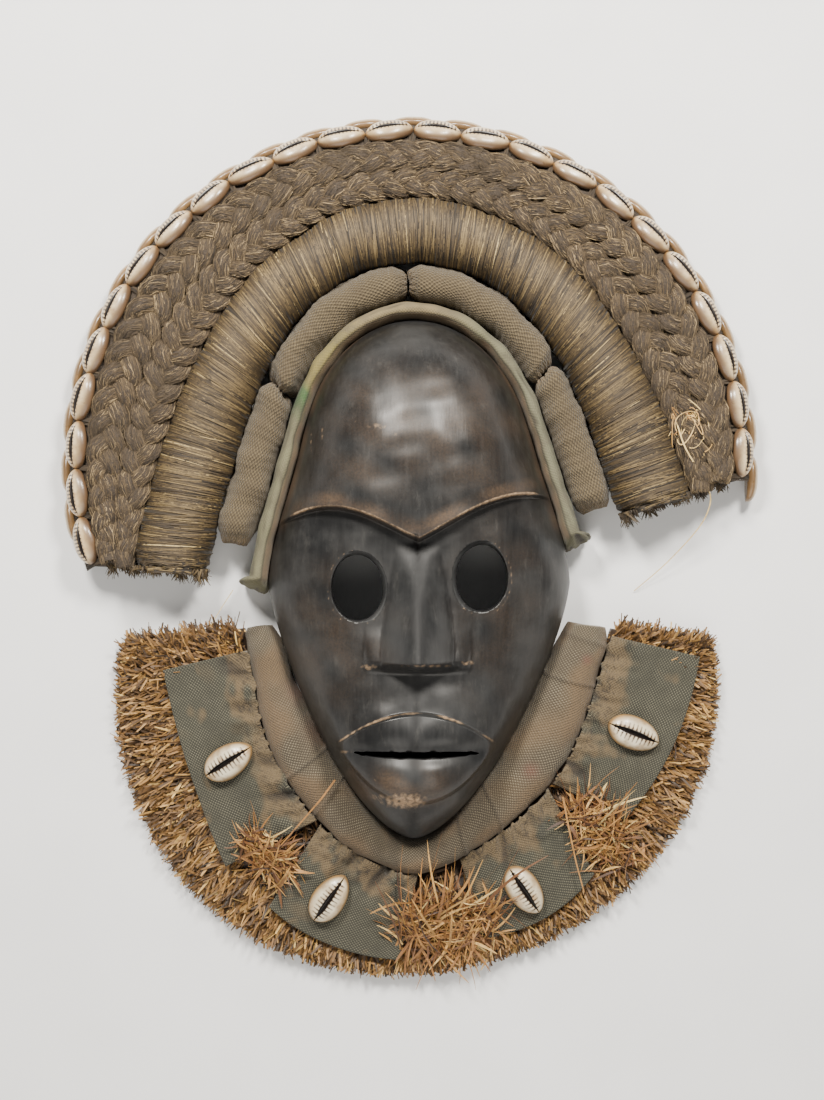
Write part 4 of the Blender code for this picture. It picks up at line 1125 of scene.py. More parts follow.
def wrapped_look():
    look = Look("wound_fibre", 0.75, [("Sheen Weight", 0.1)])
    streak = look.noise(0.0009, 5.0, (1.0, 0.035, 1.0), "UV", 0.65)
    broad = look.noise(0.0060, 3.0, (1.0, 0.06, 1.0), "UV")
    cloud = look.noise(0.015, 5.0, rough=0.6)
    along, _ = look.run()
    turn = look.math("DIVIDE", look.plus(along, look.times(broad, 0.0012)), WINDING_PITCH)
    each = look.add("TexWhiteNoise", {"W": look.math("FLOOR", turn)}, noise_dimensions="1D")
    gap = look.math("ABSOLUTE", look.math("SINE", look.times(turn, math.pi)))
    amount = look.plus(look.times(streak, 0.62), look.times(each, 0.20))
    amount = look.plus(amount, look.times(broad, 0.30))
    # The tone attribute carries painted light on the upper face and painted shade on the inner side
    amount = look.plus(amount, look.math("SUBTRACT", look.value("tone"), 0.65))
    tint = look.ramp(
        amount, (0.18, (0.0155, 0.0104, 0.0051)), (0.42, (0.0550, 0.0360, 0.0147)),
        (0.64, (0.1290, 0.0864, 0.0346)), (0.88, (0.3182, 0.2280, 0.0960)),
    )
    tint = look.stain(tint, (0.0292, 0.0200, 0.0109), cloud, 0.48, 0.75, 0.70)
    tint = look.mix((0.0120, 0.0080, 0.0045), tint, look.ramp(gap, (0.0, 0.35), (0.42, 1.0)))
    return look.done(tint, look.bump(streak, 0.0004, 0.8, look.bump(gap, 0.0003, 0.7)))


def winding_tone_and_light(place, across):
    """Golden on the left and darker to the right; lighter on the upper face as painted light and darker on
    the inner side as painted shade.
    """
    left = ramp((15.0 - place) / 13.0)
    # Painted light: the upper face is lighter, the inner side darker
    lit = ramp((across - 0.10) / 0.35) * ramp((1.08 - across) / 0.25)
    return 0.19 + 0.05 * left * lit + 0.14 * lit


def build_wrapped():
    """A thick core wound across with fibre, and the ribbons of its outermost turns."""
    place = places_between(0.0, float(FAN_SIDES), WRAPPED_STEP, WRAPPED_RUN)
    near = crown(place, ribbed_out(place) + GAP)
    far = crown(place, wrapped_out(place))
    ends = np.minimum(place, FAN_SIDES - place)
    shrink = 1.0 - 0.14 * power(1.0 - ends / 0.5, 2.0)
    section = round_section(64, 0.88)
    rings = roll_rings(near, far, WRAPPED_HEIGHT, section, shrink)
    u, v = roll_grid(rings)
    across = section[0][None, :] + 0.0 * u
    # Tone with painted light on the roll's upper face and painted shade on its inner side
    tone = winding_tone_and_light(place[:, None], across) + 0.07 * wobble(pair(u, v), 0.03, 63)
    lumps = wobble(pair(u, v * 0.6), 0.020, 64)
    turns = wobble(pair(u, v * 0.03), 0.0032, 65)
    crumbly = power(1.0 - ends / 0.45, 1.2)[:, None] * wobble(pair(u, v), 0.004, 66)
    knots = bell((place[:, None] - 5.25) * 0.0145 / 0.0022, 1.0) * bell((across - 0.62) / 0.075, 1.0)
    shift = 0.00065 * lumps + 0.00022 * turns - 0.0016 * crumbly + 0.0016 * knots
    rings = swollen(rings, shift)
    made = tube("wound_roll", rings, wrapped_look(), "wound_cord", ["wrapped_roll"], tone=tone)
    build_windings(rings, place)
    build_roll_ends()


def winding_fibre_look():
    look = Look("loose_winding", 0.7)
    grit = look.noise(0.0012, 4.0)
    tint = look.ramp(
        look.value("tone"), (0.0, (0.0172, 0.0113, 0.0059)), (0.36, (0.0619, 0.0405, 0.0172)),
        (0.72, (0.1677, 0.1150, 0.0462)), (1.0, (0.3784, 0.2794, 0.1221)),
    )
    return look.done(look.stain(tint, (0.0301, 0.0211, 0.0112), grit, 0.48, 0.78, 0.6))


def build_windings(rings, place):
    """Ribbons of fibre that run over the roll from side to side."""
    pick = np.random.default_rng(67)
    rows, columns = rings.shape[:2]
    count = WINDING_COUNT
    start = pick.uniform(0.0, rows - 1.0, count)
    first = pick.uniform(0.12, 0.55, count) * columns
    reach = pick.uniform(0.12, 0.42, count) * columns
    t = np.linspace(0.0, 1.0, 9)
    around = np.clip(first[:, None] + reach[:, None] * t, 0.10 * columns, 0.90 * columns)
    slant = pick.normal(0.0, 1.0, count)[:, None] * t + 0.5 * pick.normal(0.0, 1.0, (count, 1)) * t * t
    row = np.clip(start[:, None] + 1.5 * slant, 0, rows - 1.001)
    column = np.clip(around, 0, columns - 1.001)
    i, j = row.astype(int), column.astype(int)
    a, b = (row - i)[..., None], (column - j)[..., None]
    k = (j + 1) % columns
    points = (rings[i, j] * (1 - a) + rings[i + 1, j] * a) * (1 - b)
    points = points + (rings[i, k] * (1 - a) + rings[i + 1, k] * a) * b
    middle = rings.mean(1)[i]
    out = unit(points - middle)
    lift = 0.00022 + 0.0004 * np.sin(np.pi * t) * pick.uniform(0.0, 1.0, (count, 1)) ** 3
    points = points + out * lift[..., None]
    # The ribbons take the roll's tone with the painted light of its upper face
    side = winding_tone_and_light(np.interp(row[:, 4], np.arange(rows), place), 0.5 + 0.0 * row[:, 4])
    tone = np.clip(side + pick.normal(0.02, 0.21, count), 0.0, 1.0)
    widths = pick.uniform(0.00020, 0.00070, (count, 1)) * np.sin(np.pi * (0.08 + 0.84 * t))[None, :] ** 0.5
    fibres(
        "wound_ribbons", points, widths, out, winding_fibre_look(), "wound_cord", tone, ["wrapped_roll"],
    )


def build_roll_ends():
    """Cut fibre that sticks out of both ends of the wound roll and of the plaits."""
    pick = np.random.default_rng(68)
    look = winding_fibre_look()
    count = ROLL_END_COUNT
    for name, at, tone in (("left", 0.0, 0.35), ("right", float(FAN_SIDES), 0.21)):
        place = np.full(count, at)
        inner = ribbed_out(place) + GAP
        whole = on_line(CROWN_RIM, place) - on_line(CROWN_FOOT, place)
        outer = np.linalg.norm(whole, axis=-1) - FAN_BEVEL
        share = pick.uniform(0.02, 0.98, count) ** 1.1
        root = crown(place, inner + (outer - inner) * share)
        ahead = crown(place, inner + 0.01) - crown(place, inner)
        way = unit(quarter(ahead))
        way = way * np.sign(-way[:, 1:2])
        way = swung(way, np.radians(pick.normal(0.0, 26.0, count)))
        rolls = inner + (outer - inner) * share < wrapped_out(place)
        top = np.where(rolls, WRAPPED_HEIGHT * 0.86, FAN_HEIGHT)
        clump = 0.6 + 0.4 * wobble((share * 60.0)[:, None], 9.0, 69)
        long = pick.uniform(0.0015, 0.0085, count) * clump
        level = top * pick.uniform(0.12, 1.0, count) ** 0.7
        t = np.linspace(0.0, 1.0, 4)
        plan = root[:, None, :] + way[:, None, :] * (long[:, None] * t - 0.0022)[..., None]
        z = level[:, None] + long[:, None] * t * pick.normal(0.0, 0.35, (count, 1))
        z = z - 0.3 * long[:, None] * t * t
        loose_fibres(
            pick, "cut_ends_" + name, raised(plan, np.maximum(z, 0.0006)), (0.0003, 0.0009),
            (1.0, 1.0, 0.8, 0.35), 0.5, (tone, 0.16), look, "wound_cord", "wrapped_roll",
        )


# Braided fan

def braid_look():
    look = Look("braid_base", 0.95)
    grit = look.noise(0.0008, 5.0, rough=0.7)
    tint = look.ramp(grit, (0.30, (0.020, 0.015, 0.011)), (0.72, (0.075, 0.056, 0.040)))
    return look.done(tint, look.bump(grit, 0.0006, 1.0))


def hair_look():
    look = Look("braid_fibre", 0.85, [("Sheen Weight", 0.1)])
    grit = look.noise(0.0015, 3.0)
    cloud = look.noise(0.022, 4.0)
    tint = look.ramp(
        look.value("tone"), (0.0, (0.0134, 0.0088, 0.0044)), (0.42, (0.0571, 0.0368, 0.0177)),
        (0.80, (0.1386, 0.0944, 0.0462)), (1.0, (0.3192, 0.2280, 0.1156)),
    )
    tint = look.stain(tint, (0.0420, 0.0296, 0.0170), cloud, 0.42, 0.70, 0.65)
    return look.done(look.stain(tint, (0.0336, 0.0232, 0.0136), grit, 0.45, 0.75, 0.5))


BRAID_PERIOD = 0.0300
BRAID_ROWS = 2
BRAID_STRANDS = 3
STRAND_ROWS = 330
STRAND_SIDES = 12
STRAND_LIFT = 0.0014
STRAND_HALF = 0.0040
STRAND_THICK = 0.0024
STRAND_RISE = 0.0021


def fan_lines(place):
    near = crown(place, wrapped_out(place) + GAP)
    rim = on_line(CROWN_RIM, place)
    shoulder = rim - unit(rim - FAN_CENTRE) * FAN_BEVEL
    return near, shoulder, rim


def strand_line(row, strand, share):
    """Points along a strand at shares of the fan's length."""
    near, shoulder, _ = fan_lines(share * FAN_SIDES)
    phase = 2 * np.pi * (share * FAN_RUN / BRAID_PERIOD + strand / BRAID_STRANDS + 0.17 * row)
    weave, rise = np.sin(phase), np.sin(2.0 * phase + (np.pi if row else 0.0))
    wide = np.linalg.norm(shoulder - near, axis=-1)
    half = wide / (2.0 * BRAID_ROWS)
    middle = (row + 0.5) / BRAID_ROWS
    t = middle + weave * (half - STRAND_HALF * 0.80) / wide
    plan = near + (shoulder - near) * t[..., None]
    return raised(plan, FAN_HEIGHT + STRAND_LIFT + STRAND_RISE * rise)


def build_fan():
    place = places_between(0.0, float(FAN_SIDES), FAN_STEP, FAN_RUN)
    near, shoulder, rim = fan_lines(place)
    ring = [raised(near, 0.0)]
    for t in (0.0, *np.linspace(0.1, 0.9, 7)):
        ring.append(raised(near + (shoulder - near) * t, FAN_HEIGHT))
    ring += [raised(shoulder, FAN_HEIGHT), raised(rim, FAN_EDGE_HEIGHT), raised(rim, 0.0)]
    rings = np.stack(ring, 1)
    tube("fan_bed", rings, braid_look(), "plaited_fibre", ["braided_fan"])
    points = []
    quads = []
    share = np.linspace(0.002, 0.998, STRAND_ROWS)
    around = np.linspace(0, 2 * np.pi, STRAND_SIDES + 1)[:-1]
    for row in range(BRAID_ROWS):
        for strand in range(BRAID_STRANDS):
            line = strand_line(row, strand, share)
            ahead = unit(np.gradient(line, axis=0))
            aside = unit(np.cross(ahead, UP))
            over = np.cross(aside, ahead)
            section = aside[:, None] * (np.cos(around) * STRAND_HALF)[None, :, None]
            section = section + over[:, None] * (np.sin(around) * STRAND_THICK)[None, :, None]
            rings = line[:, None, :] + section
            quads.append(grid_quads(len(share), STRAND_SIDES, True) + sum(len(p) for p in points))
            points.append(rings.reshape(-1, 3))
    points, quads = np.concatenate(points), np.concatenate(quads)
    piece("fan_strands", points, quads, braid_look(), "plaited_fibre", ["braided_fan"])
    build_hair()


def build_hair():
    """Hair-like fibre laid along every strand, a little loose."""
    pick = np.random.default_rng(71)
    paths = []
    for row in range(BRAID_ROWS):
        for strand in range(BRAID_STRANDS):
            count = HAIR_COUNT
            start = pick.uniform(-0.004, 0.996, count)
            long = pick.uniform(0.012, 0.028, count)
            share = np.clip(start[:, None] + long[:, None] * np.linspace(0, 1, 4)[None, :], 0.0, 1.0)
            line = strand_line(row, strand, share.ravel()).reshape(count, 4, 3)
            ahead = unit(np.gradient(line, axis=1))
            aside = unit(np.cross(ahead, UP))
            over = np.cross(aside, ahead)
            angle = pick.uniform(0.05, 0.95, count)[:, None] * np.pi + pick.normal(0, 0.12, (count, 4))
            away = 1.03 + np.abs(pick.normal(0, 0.10, (count, 1))) * np.linspace(0.3, 1.0, 4)[None, :]
            line = line + aside * (np.cos(angle) * STRAND_HALF * away)[..., None]
            line = line + over * (np.sin(angle) * STRAND_THICK * away)[..., None]
            paths.append(line)
    loose_fibres(
        pick, "fan_hair", np.concatenate(paths), (0.00014, 0.00040), (0.6, 1.0, 1.0, 0.4), 0.35,
        (0.47, 0.30), hair_look(), "plaited_fibre", "braided_fan",
    )


# Cowrie shells

SHELL_HALVES = np.array((0.045, 0.09, 0.15, 0.23, 0.33, 0.46, 0.62, 0.78, 0.90, 0.97, 1.0))


def cowrie(length, width, thick, off_middle=0.0, stations=45):
    """Points, quads and marks of a cowrie on its back, its slit up and its axis along X."""
    s = np.sin(np.linspace(-1.0, 1.0, stations) * np.pi / 2 * 0.985)
    top = np.concatenate([-SHELL_HALVES[::-1], [0.0], SHELL_HALVES])
    under = np.array((0.90, 0.5, 0.0, -0.5, -0.90))
    egg = 1.0 - 0.09 * s
    wide = power(1.0 - np.abs(s) ** 2.1, 0.55) * egg
    tall = 0.32 + 0.68 * power(1.0 - np.abs(s) ** 2.6, 0.6)
    slit = off_middle + 0.04 * (1.0 - s * s)
    a = top[None, :] + slit[:, None] * (1.0 - np.abs(top[None, :]))
    dome = power(1.0 - np.abs(a) ** 2.4, 0.50)
    near = np.abs(top)[None, :] + 0.0 * a
    lip = 0.06 * bell(near - 0.20, 0.09)
    height = dome * np.where(top[None, :] < 0, 1.0, 0.94) - 0.50 * bell(near, 0.055) + lip
    base = 0.34
    z = thick * tall[:, None] * (base + (1.0 - base) * height)
    upper = np.stack([s[:, None] * length / 2 + 0.0 * a, a * wide[:, None] * width / 2, z], -1)
    low = under[None, :] * wide[:, None] * width / 2 * 0.80
    lower = np.stack([s[:, None] * length / 2 + 0.0 * low, low, 0.02 * thick + 0.0 * low], -1)
    rings = np.concatenate([upper, lower], 1)
    marks = {
        "along": np.concatenate([s[:, None] * 0.5 + 0.5 + 0.0 * a, s[:, None] * 0.5 + 0.5 + 0.0 * low], 1),
        "away": np.concatenate([top[None, :] + 0.0 * a, np.sign(under)[None, :] + 0.0 * low], 1),
        "margin": np.concatenate([np.abs(a) ** 4 + np.abs(s[:, None]) ** 8, np.ones(low.shape)], 1),
    }
    for key, value in marks.items():
        marks[key] = np.concatenate([value.ravel(), [value[0, 0], value[-1, 0]]])
    columns = rings.shape[1]
    return capped(rings), grid_quads(stations, columns, True), end_caps(stations, columns), marks


def shell_look(name, pale, deep, teeth=15.0, inner=0.0, slit=0.085):
    """Glossy shell: toothed lips drawn beside the slit, the slit's opening painted near black as painted
    shade, and a browner side away from the rim.
    """
    look = Look(name, 0.30, [("Coat Weight", 0.3), ("Coat Roughness", 0.2)])
    cloud = look.noise(0.0045, 4.0)
    fine = look.noise(0.0009, 4.0)
    along, away = look.value("along"), look.value("away")
    uneven = look.times(look.math("SUBTRACT", fine, 0.5), 0.10)
    far = look.plus(look.math("ABSOLUTE", away), uneven)
    taper = look.ramp(along, (0.02, 0.25), (0.30, 1.0), (0.62, 1.0), (0.98, 0.25))
    gap = look.math("DIVIDE", far, taper)
    bar = look.math("SINE", look.times(along, 2.0 * math.pi * teeth))
    bar = look.plus(look.times(bar, 0.5), 0.5)
    long = look.ramp(far, (0.10, 1.0), (0.50, 0.9), (0.66, 0.0))
    brief = look.ramp(far, (0.10, 1.0), (0.22, 0.7), (0.34, 0.0))
    rimward = look.ramp(look.plus(look.times(away, 2.0), 0.5), (0.4, 0.0), (0.6, 1.0))
    reach = look.mix(brief, long, rimward if inner else 0.6)
    ends = look.ramp(along, (0.05, 0.0), (0.12, 1.0), (0.90, 1.0), (0.96, 0.0))
    tooth = look.times(look.times(bar, reach), ends)
    tint = look.stain(pale, deep, look.value("margin"), 0.10, 0.80, 1.0)
    tint = look.stain(tint, deep, cloud, 0.46, 0.72, 0.75)
    tint = look.stain(tint, (0.40, 0.235, 0.085), look.noise(0.007, 3.0), 0.50, 0.72, 0.65)
    side = look.math("SUBTRACT", 0.5, look.times(away, 0.5))
    tint = look.stain(tint, (0.085, 0.050, 0.028), side, 0.70, 0.94, inner)
    tint = look.stain(tint, (0.14, 0.085, 0.050), fine, 0.60, 0.85, 0.55)
    tint = look.stain(tint, (0.050, 0.026, 0.014), tooth, 0.30, 0.62, 0.95)
    # Painted shade: the opening of the slit is drawn near black
    tint = look.mix(tint, (0.008, 0.005, 0.004), look.ramp(gap, (slit, 1.0), (slit + 0.06, 0.0)))
    rough = look.ramp(cloud, (0.3, 0.24), (0.7, 0.42))
    return look.done(tint, look.bump(tooth, 0.0003, -0.7, look.bump(fine, 0.0001, 0.4)), rough)


def placed(points, origin, x_axis, up):
    """Points moved so that X and Z lie along two ways from an origin."""
    y_axis = np.cross(up, x_axis)
    return origin + points @ np.stack([x_axis, y_axis, up])


def add_shell(name, node, slot, look, shell, origin, x_axis, up):
    points, quads, tris, marks = shell
    piece(name, placed(points, origin, x_axis, up), quads, look, slot, [node], tris, **marks)


def rim_corners(k):
    """The two corners of one straight side of the fan."""
    return (FAN_CENTRE + heading(blend(FAN_START, FAN_END, (k + e) / FAN_SIDES)) * FAN_RADIUS for e in (0, 1))


def build_border_shells():
    look = shell_look("fan_cowrie", (0.58, 0.45, 0.265), (0.22, 0.125, 0.050), 13.0, 0.9, 0.17)
    drop = FAN_HEIGHT - FAN_EDGE_HEIGHT
    pick = np.random.default_rng(81)
    for k in range(FAN_SIDES):
        a, b = rim_corners(k)
        inner_a, inner_b = (p - unit(p - FAN_CENTRE) * FAN_BEVEL for p in (a, b))
        outer = (a + b) / 2.0
        inner = (inner_a + inner_b) / 2.0
        ahead = unit(np.append(b - a, 0.0))
        down = unit(np.append(outer - inner, -drop))
        up = np.cross(down, ahead)
        up = up if up[2] > 0 else -up
        turn = math.radians(pick.uniform(-7.0, 7.0))
        x_axis = ahead * math.cos(turn) + np.cross(up, ahead) * math.sin(turn)
        length = (np.linalg.norm(a - b) + np.linalg.norm(inner_a - inner_b)) / 2.0 + 0.0004
        length = length * pick.uniform(0.98, 1.03)
        shell = cowrie(length, SHELL_WIDTH * pick.uniform(0.95, 1.03), SHELL_THICK, -0.14)
        middle = np.append((outer + inner) / 2.0, (FAN_HEIGHT + FAN_EDGE_HEIGHT) / 2.0)
        number = "shell_%02d" % (k + 1)
        add_shell(number, "fan_" + number, "cowrie", look, shell, middle + up * GAP, x_axis, up)
    build_shell_threads()


def build_shell_threads():
    """Dark fibre that is sewn over the band between the shells."""
    pick = np.random.default_rng(82)
    count = (FAN_SIDES + 1) * THREADS_EACH
    corners = np.linspace(0.0, FAN_SIDES, FAN_SIDES + 1)
    place = np.repeat(corners, THREADS_EACH) + pick.normal(0.0, 0.030, count)
    out = heading(blend(FAN_START, FAN_END, place / FAN_SIDES))
    t = np.linspace(-0.25, 1.06, 6)
    reach = FAN_RADIUS - FAN_BEVEL * (1.0 - t)
    skew = pick.normal(0.0, 0.0012, (count, 1)) * (t - 0.4)
    plan = FAN_CENTRE + out[:, None, :] * reach[None, :, None]
    plan = plan + quarter(out)[:, None, :] * skew[..., None]
    levels = (FAN_HEIGHT, FAN_HEIGHT, FAN_EDGE_HEIGHT, FAN_EDGE_HEIGHT - 0.002)
    z = np.interp(t, (-0.25, 0.0, 1.0, 1.06), levels)
    z = z[None, :] + 0.0022 * np.sin(np.pi * (t + 0.25) / 1.31) * pick.uniform(0.3, 1.0, (count, 1))
    loose_fibres(
        pick, "shell_threads", raised(plan, z), (0.0004, 0.0010), np.ones(len(t)), 0.3,
        (0.16, 0.14), hair_look(), "plaited_fibre", "braided_fan",
    )


RIM_STRINGS = 4


def build_rim_shells():
    look = shell_look("rim_cowrie", (0.56, 0.43, 0.245), (0.21, 0.125, 0.055), 13.0, 0.3, 0.15)
    turn = math.radians((FAN_START - FAN_END) / FAN_SIDES / 2.0)
    reach = FAN_RADIUS * math.tan(turn)
    per_string = FAN_SIDES // RIM_STRINGS
    for string in range(RIM_STRINGS):
        parts = []
        for k in range(per_string):
            place = string * per_string + k + 1
            out = heading(blend(FAN_START, FAN_END, place / FAN_SIDES))
            corner = FAN_CENTRE + out * FAN_RADIUS
            side = np.array((out[1], -out[0], 0.0))
            points, quads, tris, marks = cowrie(2.0 * reach * 0.96, RIM_SHELL_WIDTH, RIM_SHELL_THICK, 0.0, 31)
            origin = np.append(corner + out * GAP, FAN_EDGE_HEIGHT / 2.0)
            parts.append((placed(points, origin, side, np.append(out, 0.0)), quads, tris, marks))
        base = np.cumsum([0] + [len(part[0]) for part in parts[:-1]])
        piece(
            "rim_string_%d" % (string + 1), np.concatenate([part[0] for part in parts]),
            np.concatenate([part[1] + start for part, start in zip(parts, base)]),
            look, "rim_cowrie", ["rim_shells_%d" % (string + 1)],
            np.concatenate([part[2] + start for part, start in zip(parts, base)]),
            **{key: np.concatenate([part[3][key] for part in parts]) for key in parts[0][3]},
        )


# Collar

# Reddish stains on the collar roll: place in the photograph and reach in metres
ROLL_STAINS = ((587.0, 660.0, 0.0022), (531.0, 771.0, 0.0034), (322.0, 728.0, 0.0060), (300.0, 690.0, 0.0050))


def coarse_look(name, low, high, dirt, rough, pitch):
    look = Look(name, rough, [("Sheen Weight", 0.10)])
    grit = look.noise(0.0006, 4.0)
    cloud = look.noise(0.010, 5.0, rough=0.6)
    beads = look.lattice(pitch, pitch * 0.90, 0.0006)
    faded = look.ramp(cloud, (0.30, 1.0), (0.70, 0.35))
    speck = look.times(look.ramp(beads, (0.52, 0.0), (0.90, 1.0)), faded)
    tint = look.mix(low, high, speck)
    filth = look.stain(dirt, (0.060, 0.043, 0.028), grit, 0.40, 0.75, 0.8)
    dirty = look.plus(look.value("dirt"), look.times(grit, 0.3))
    tint = look.stain(tint, filth, dirty, 0.22, 0.90, 0.92)
    tint = look.mix(tint, (0.110, 0.050, 0.032), look.value("stain"))
    # Painted shade in the creases of the cloth
    tint = look.mix(tint, (0.018, 0.014, 0.010), look.value("fold"))
    rough = look.ramp(speck, (0.2, 0.9), (0.9, rough - 0.12))
    return look.done(tint, look.bump(grit, 0.0003, 0.6, look.bump(beads, 0.00045, 0.9)), rough)


def build_collar_roll():
    look = coarse_look(
        "collar_weave", (0.0539, 0.0414, 0.0256), (0.2185, 0.1840, 0.1184), (0.1256, 0.0828, 0.0416),
        0.62, 0.00075,
    )
    place = places_between(0.0, float(COLLAR_SIDES), COLLAR_STEP, COLLAR_RUN)
    near = collar(place, np.full(len(place), GAP))
    far = collar(place, roll_out(place))
    ends = np.minimum(place, COLLAR_SIDES - place)
    shrink = 1.0 - 0.36 * power(1.0 - ends / 0.9, 2.0)
    section = round_section(72, 0.88)
    rings = roll_rings(near, far, COLLAR_ROLL_HEIGHT, section, shrink)
    u, v = roll_grid(rings)
    sag = wobble(pair(u, v * 0.8), 0.034, 91)
    crease = bell(wobble(pair(u, v * 0.3), 0.040, 92) - 0.35, 0.07)
    dents = wobble(pair(u, v), 0.011, 94)
    shift = 0.0008 * sag - 0.0007 * crease + 0.0002 * dents
    rings = swollen(rings, shift)
    outer = ramp((section[0][None, :] - 0.55) / 0.35)
    dirt = ramp(0.22 + 0.42 * wobble(pair(u, v), 0.022, 93) + 0.45 * outer)
    stain = 0.0 * u
    for px, py, reach in ROLL_STAINS:
        cx, cy = photo_point(px, py, rings[..., 2])
        away = np.hypot(rings[..., 0] - cx, rings[..., 1] - cy)
        stain = np.maximum(stain, 0.7 * bell(away / reach, 0.75))
    # Painted shade: the creases on the roll's upper side are darkened
    made = tube(
        "collar_cushion", rings, look, "coarse_cloth", ["collar_roll"], dirt=dirt, stain=stain,
        fold=0.35 * crease * (section[1][None, :] > 0.5),
    )


def set_back(panel, share):
    """How far the fringe shows past a panel, from 0 at the panel's start to 1 at its end."""
    first, middle, last = panel[4:]
    return blend(first, last, share) + (middle - (first + last) / 2.0) * 4.0 * share * (1.0 - share)


def outside_roll(place):
    return collar(place, roll_out(place) + GAP)


def panel_frame(panel, share, across):
    """Plan points of a panel, share of the way along it and across it from its inner edge."""
    start, end, outer_start, outer_end = panel[:4]
    near = outside_roll(blend(start, end, share) * COLLAR_SIDES)
    rim = on_line(COLLAR_RIM, blend(outer_start, outer_end, share) * COLLAR_SIDES)
    far = rim + unit(near - rim) * set_back(panel, share)[..., None]
    return near + (far - near) * np.asarray(across)[..., None]


def panel_top(panel, plan):
    """Height of the flat canvas at plan points."""
    ends = panel_frame(panel, np.array((0.5, 0.5)), np.array((0.0, 1.0)))
    way = unit(ends[1] - ends[0])
    fall = (CANVAS_INNER - CANVAS_OUTER) / np.linalg.norm(ends[1] - ends[0])
    return CANVAS_INNER - fall * ((plan - ends[0]) @ way)


EDGE_DROP = (0.0003, 0.0011, 0.0024)


def turned_edge(count):
    """Shares of a side with extra rows at both ends that turn down, and how far they drop."""
    share = np.concatenate([np.zeros(3), np.linspace(0.0, 1.0, count), np.ones(3)])
    drop = np.concatenate([EDGE_DROP[::-1], np.zeros(count), EDGE_DROP])
    out = np.concatenate([(-0.0004, -0.0005, -0.0003), np.zeros(count), (0.0003, 0.0005, 0.0004)])
    return share, drop, out


def turned_uv(u, v):
    """Corner coordinates for grid_quads with the order of its corners turned round."""
    return grid_uv(u, v).reshape(-1, 4, 2)[:, ::-1].reshape(-1, 2)


def build_canvas():
    """Four stiff pieces of canvas, gathered along the roll and turned under at their edges."""
    look = coarse_look(
        "canvas_weave", (0.0286, 0.0279, 0.0189), (0.1470, 0.1378, 0.0903), (0.1260, 0.0886, 0.0429),
        0.85, 0.00080,
    )
    for number, panel in enumerate(PANELS):
        ends = panel_frame(panel, np.array((0.0, 1.0, 0.5, 0.5)), np.array((0.6, 0.6, 0.0, 1.0)))
        middle = panel_frame(panel, np.linspace(0, 1, 30), np.full(30, 0.6))
        long = lengths(middle)[-1]
        deep = float(np.linalg.norm(ends[3] - ends[2]))
        share, drop_a, out_a = turned_edge(int(long / CANVAS_STEP))
        across, drop_b, out_b = turned_edge(int(deep / CANVAS_STEP))
        s, c = np.meshgrid(share, across, indexing="ij")
        plan = panel_frame(panel, s, c)
        u = s * long
        v = c * deep
        seed = 100 + 10 * number
        gather = ramp((0.50 - c) / 0.40)
        folds = wobble(pair(u + 0.35 * v, 0.22 * v), 0.0120, seed)
        crumple = wobble(plan, 0.0065, seed + 1)
        broad = wobble(plan, 0.040, seed + 2)
        scallop = np.sin(u / 0.0080 * 2 * np.pi + 2.4 * wobble(u[..., None], 0.03, seed + 3))
        ahead = unit(np.gradient(plan, axis=1))
        plan = plan + ahead * (0.0016 * scallop * ramp((0.18 - c) / 0.18))[..., None]
        plan = plan + ahead * (out_b[None, :] + 0.0 * u)[..., None]
        along = unit(np.gradient(panel_frame(panel, s, c), axis=0) + 1e-9)
        plan = plan + along * (out_a[:, None] + 0.0 * u)[..., None]
        z = panel_top(panel, plan) + 0.0004 + 0.0005 * broad
        z = z + gather * (0.0017 * folds + 0.0007 * crumple)
        z = z + 0.0009 * bell(c - 0.45, 0.05) * (1.0 - 0.6 * s)
        z = z - np.maximum(drop_a[:, None], drop_b[None, :])
        points = raised(plan, z)
        cloudy = 0.40 * wobble(plan, 0.018, seed + 4)
        dirt = ramp(gather * 0.95 - 0.20 + cloudy + 0.20 * wobble(plan, 0.006, seed + 6)) * 0.95
        dirt = np.maximum(dirt, 0.30 * ramp(0.5 * wobble(plan, 0.020, seed + 5) - 0.1))
        # Painted shade in the troughs of the gathered canvas and along its crumples
        fold = ramp(-0.55 - folds) * gather + 0.8 * ramp((np.abs(crumple) < 0.10) * gather - 0.3)
        made = piece(
            "canvas_%d" % (number + 1), points.reshape(-1, 3), grid_quads(*s.shape)[:, ::-1], look,
            "grey_canvas", ["canvas_panel_%d" % (number + 1)], uv=turned_uv(share * long, across * deep),
            dirt=dirt.ravel(), fold=np.clip(fold, 0.0, 0.8).ravel(), stain=0.0 * fold.ravel(),
        )


def build_collar_shells():
    look = shell_look("collar_cowrie", (0.66, 0.58, 0.41), (0.23, 0.140, 0.060), 13.0, 0.0, 0.15)
    length, width, thick = COLLAR_SHELL
    for number, (which, share, across, degrees) in enumerate(COLLAR_SHELLS):
        panel = PANELS[which]
        spot = panel_frame(panel, np.array([share]), np.array([across]))[0]
        level = panel_top(panel, spot)
        ahead = heading(degrees)
        x_axis = unit(np.append(ahead, panel_top(panel, spot + ahead) - level))
        aside = heading(degrees + 90.0)
        y_axis = unit(np.append(aside, panel_top(panel, spot + aside) - level))
        up = unit(np.cross(x_axis, y_axis))
        shell = cowrie(length, width, thick, 0.0, 57)
        origin = np.append(spot, level + 2.0 * GAP)
        name, node = "collar_cowrie_%d" % (number + 1), "collar_shell_%d" % (number + 1)
        add_shell(name, node, "flat_cowrie", look, shell, origin, x_axis, up)


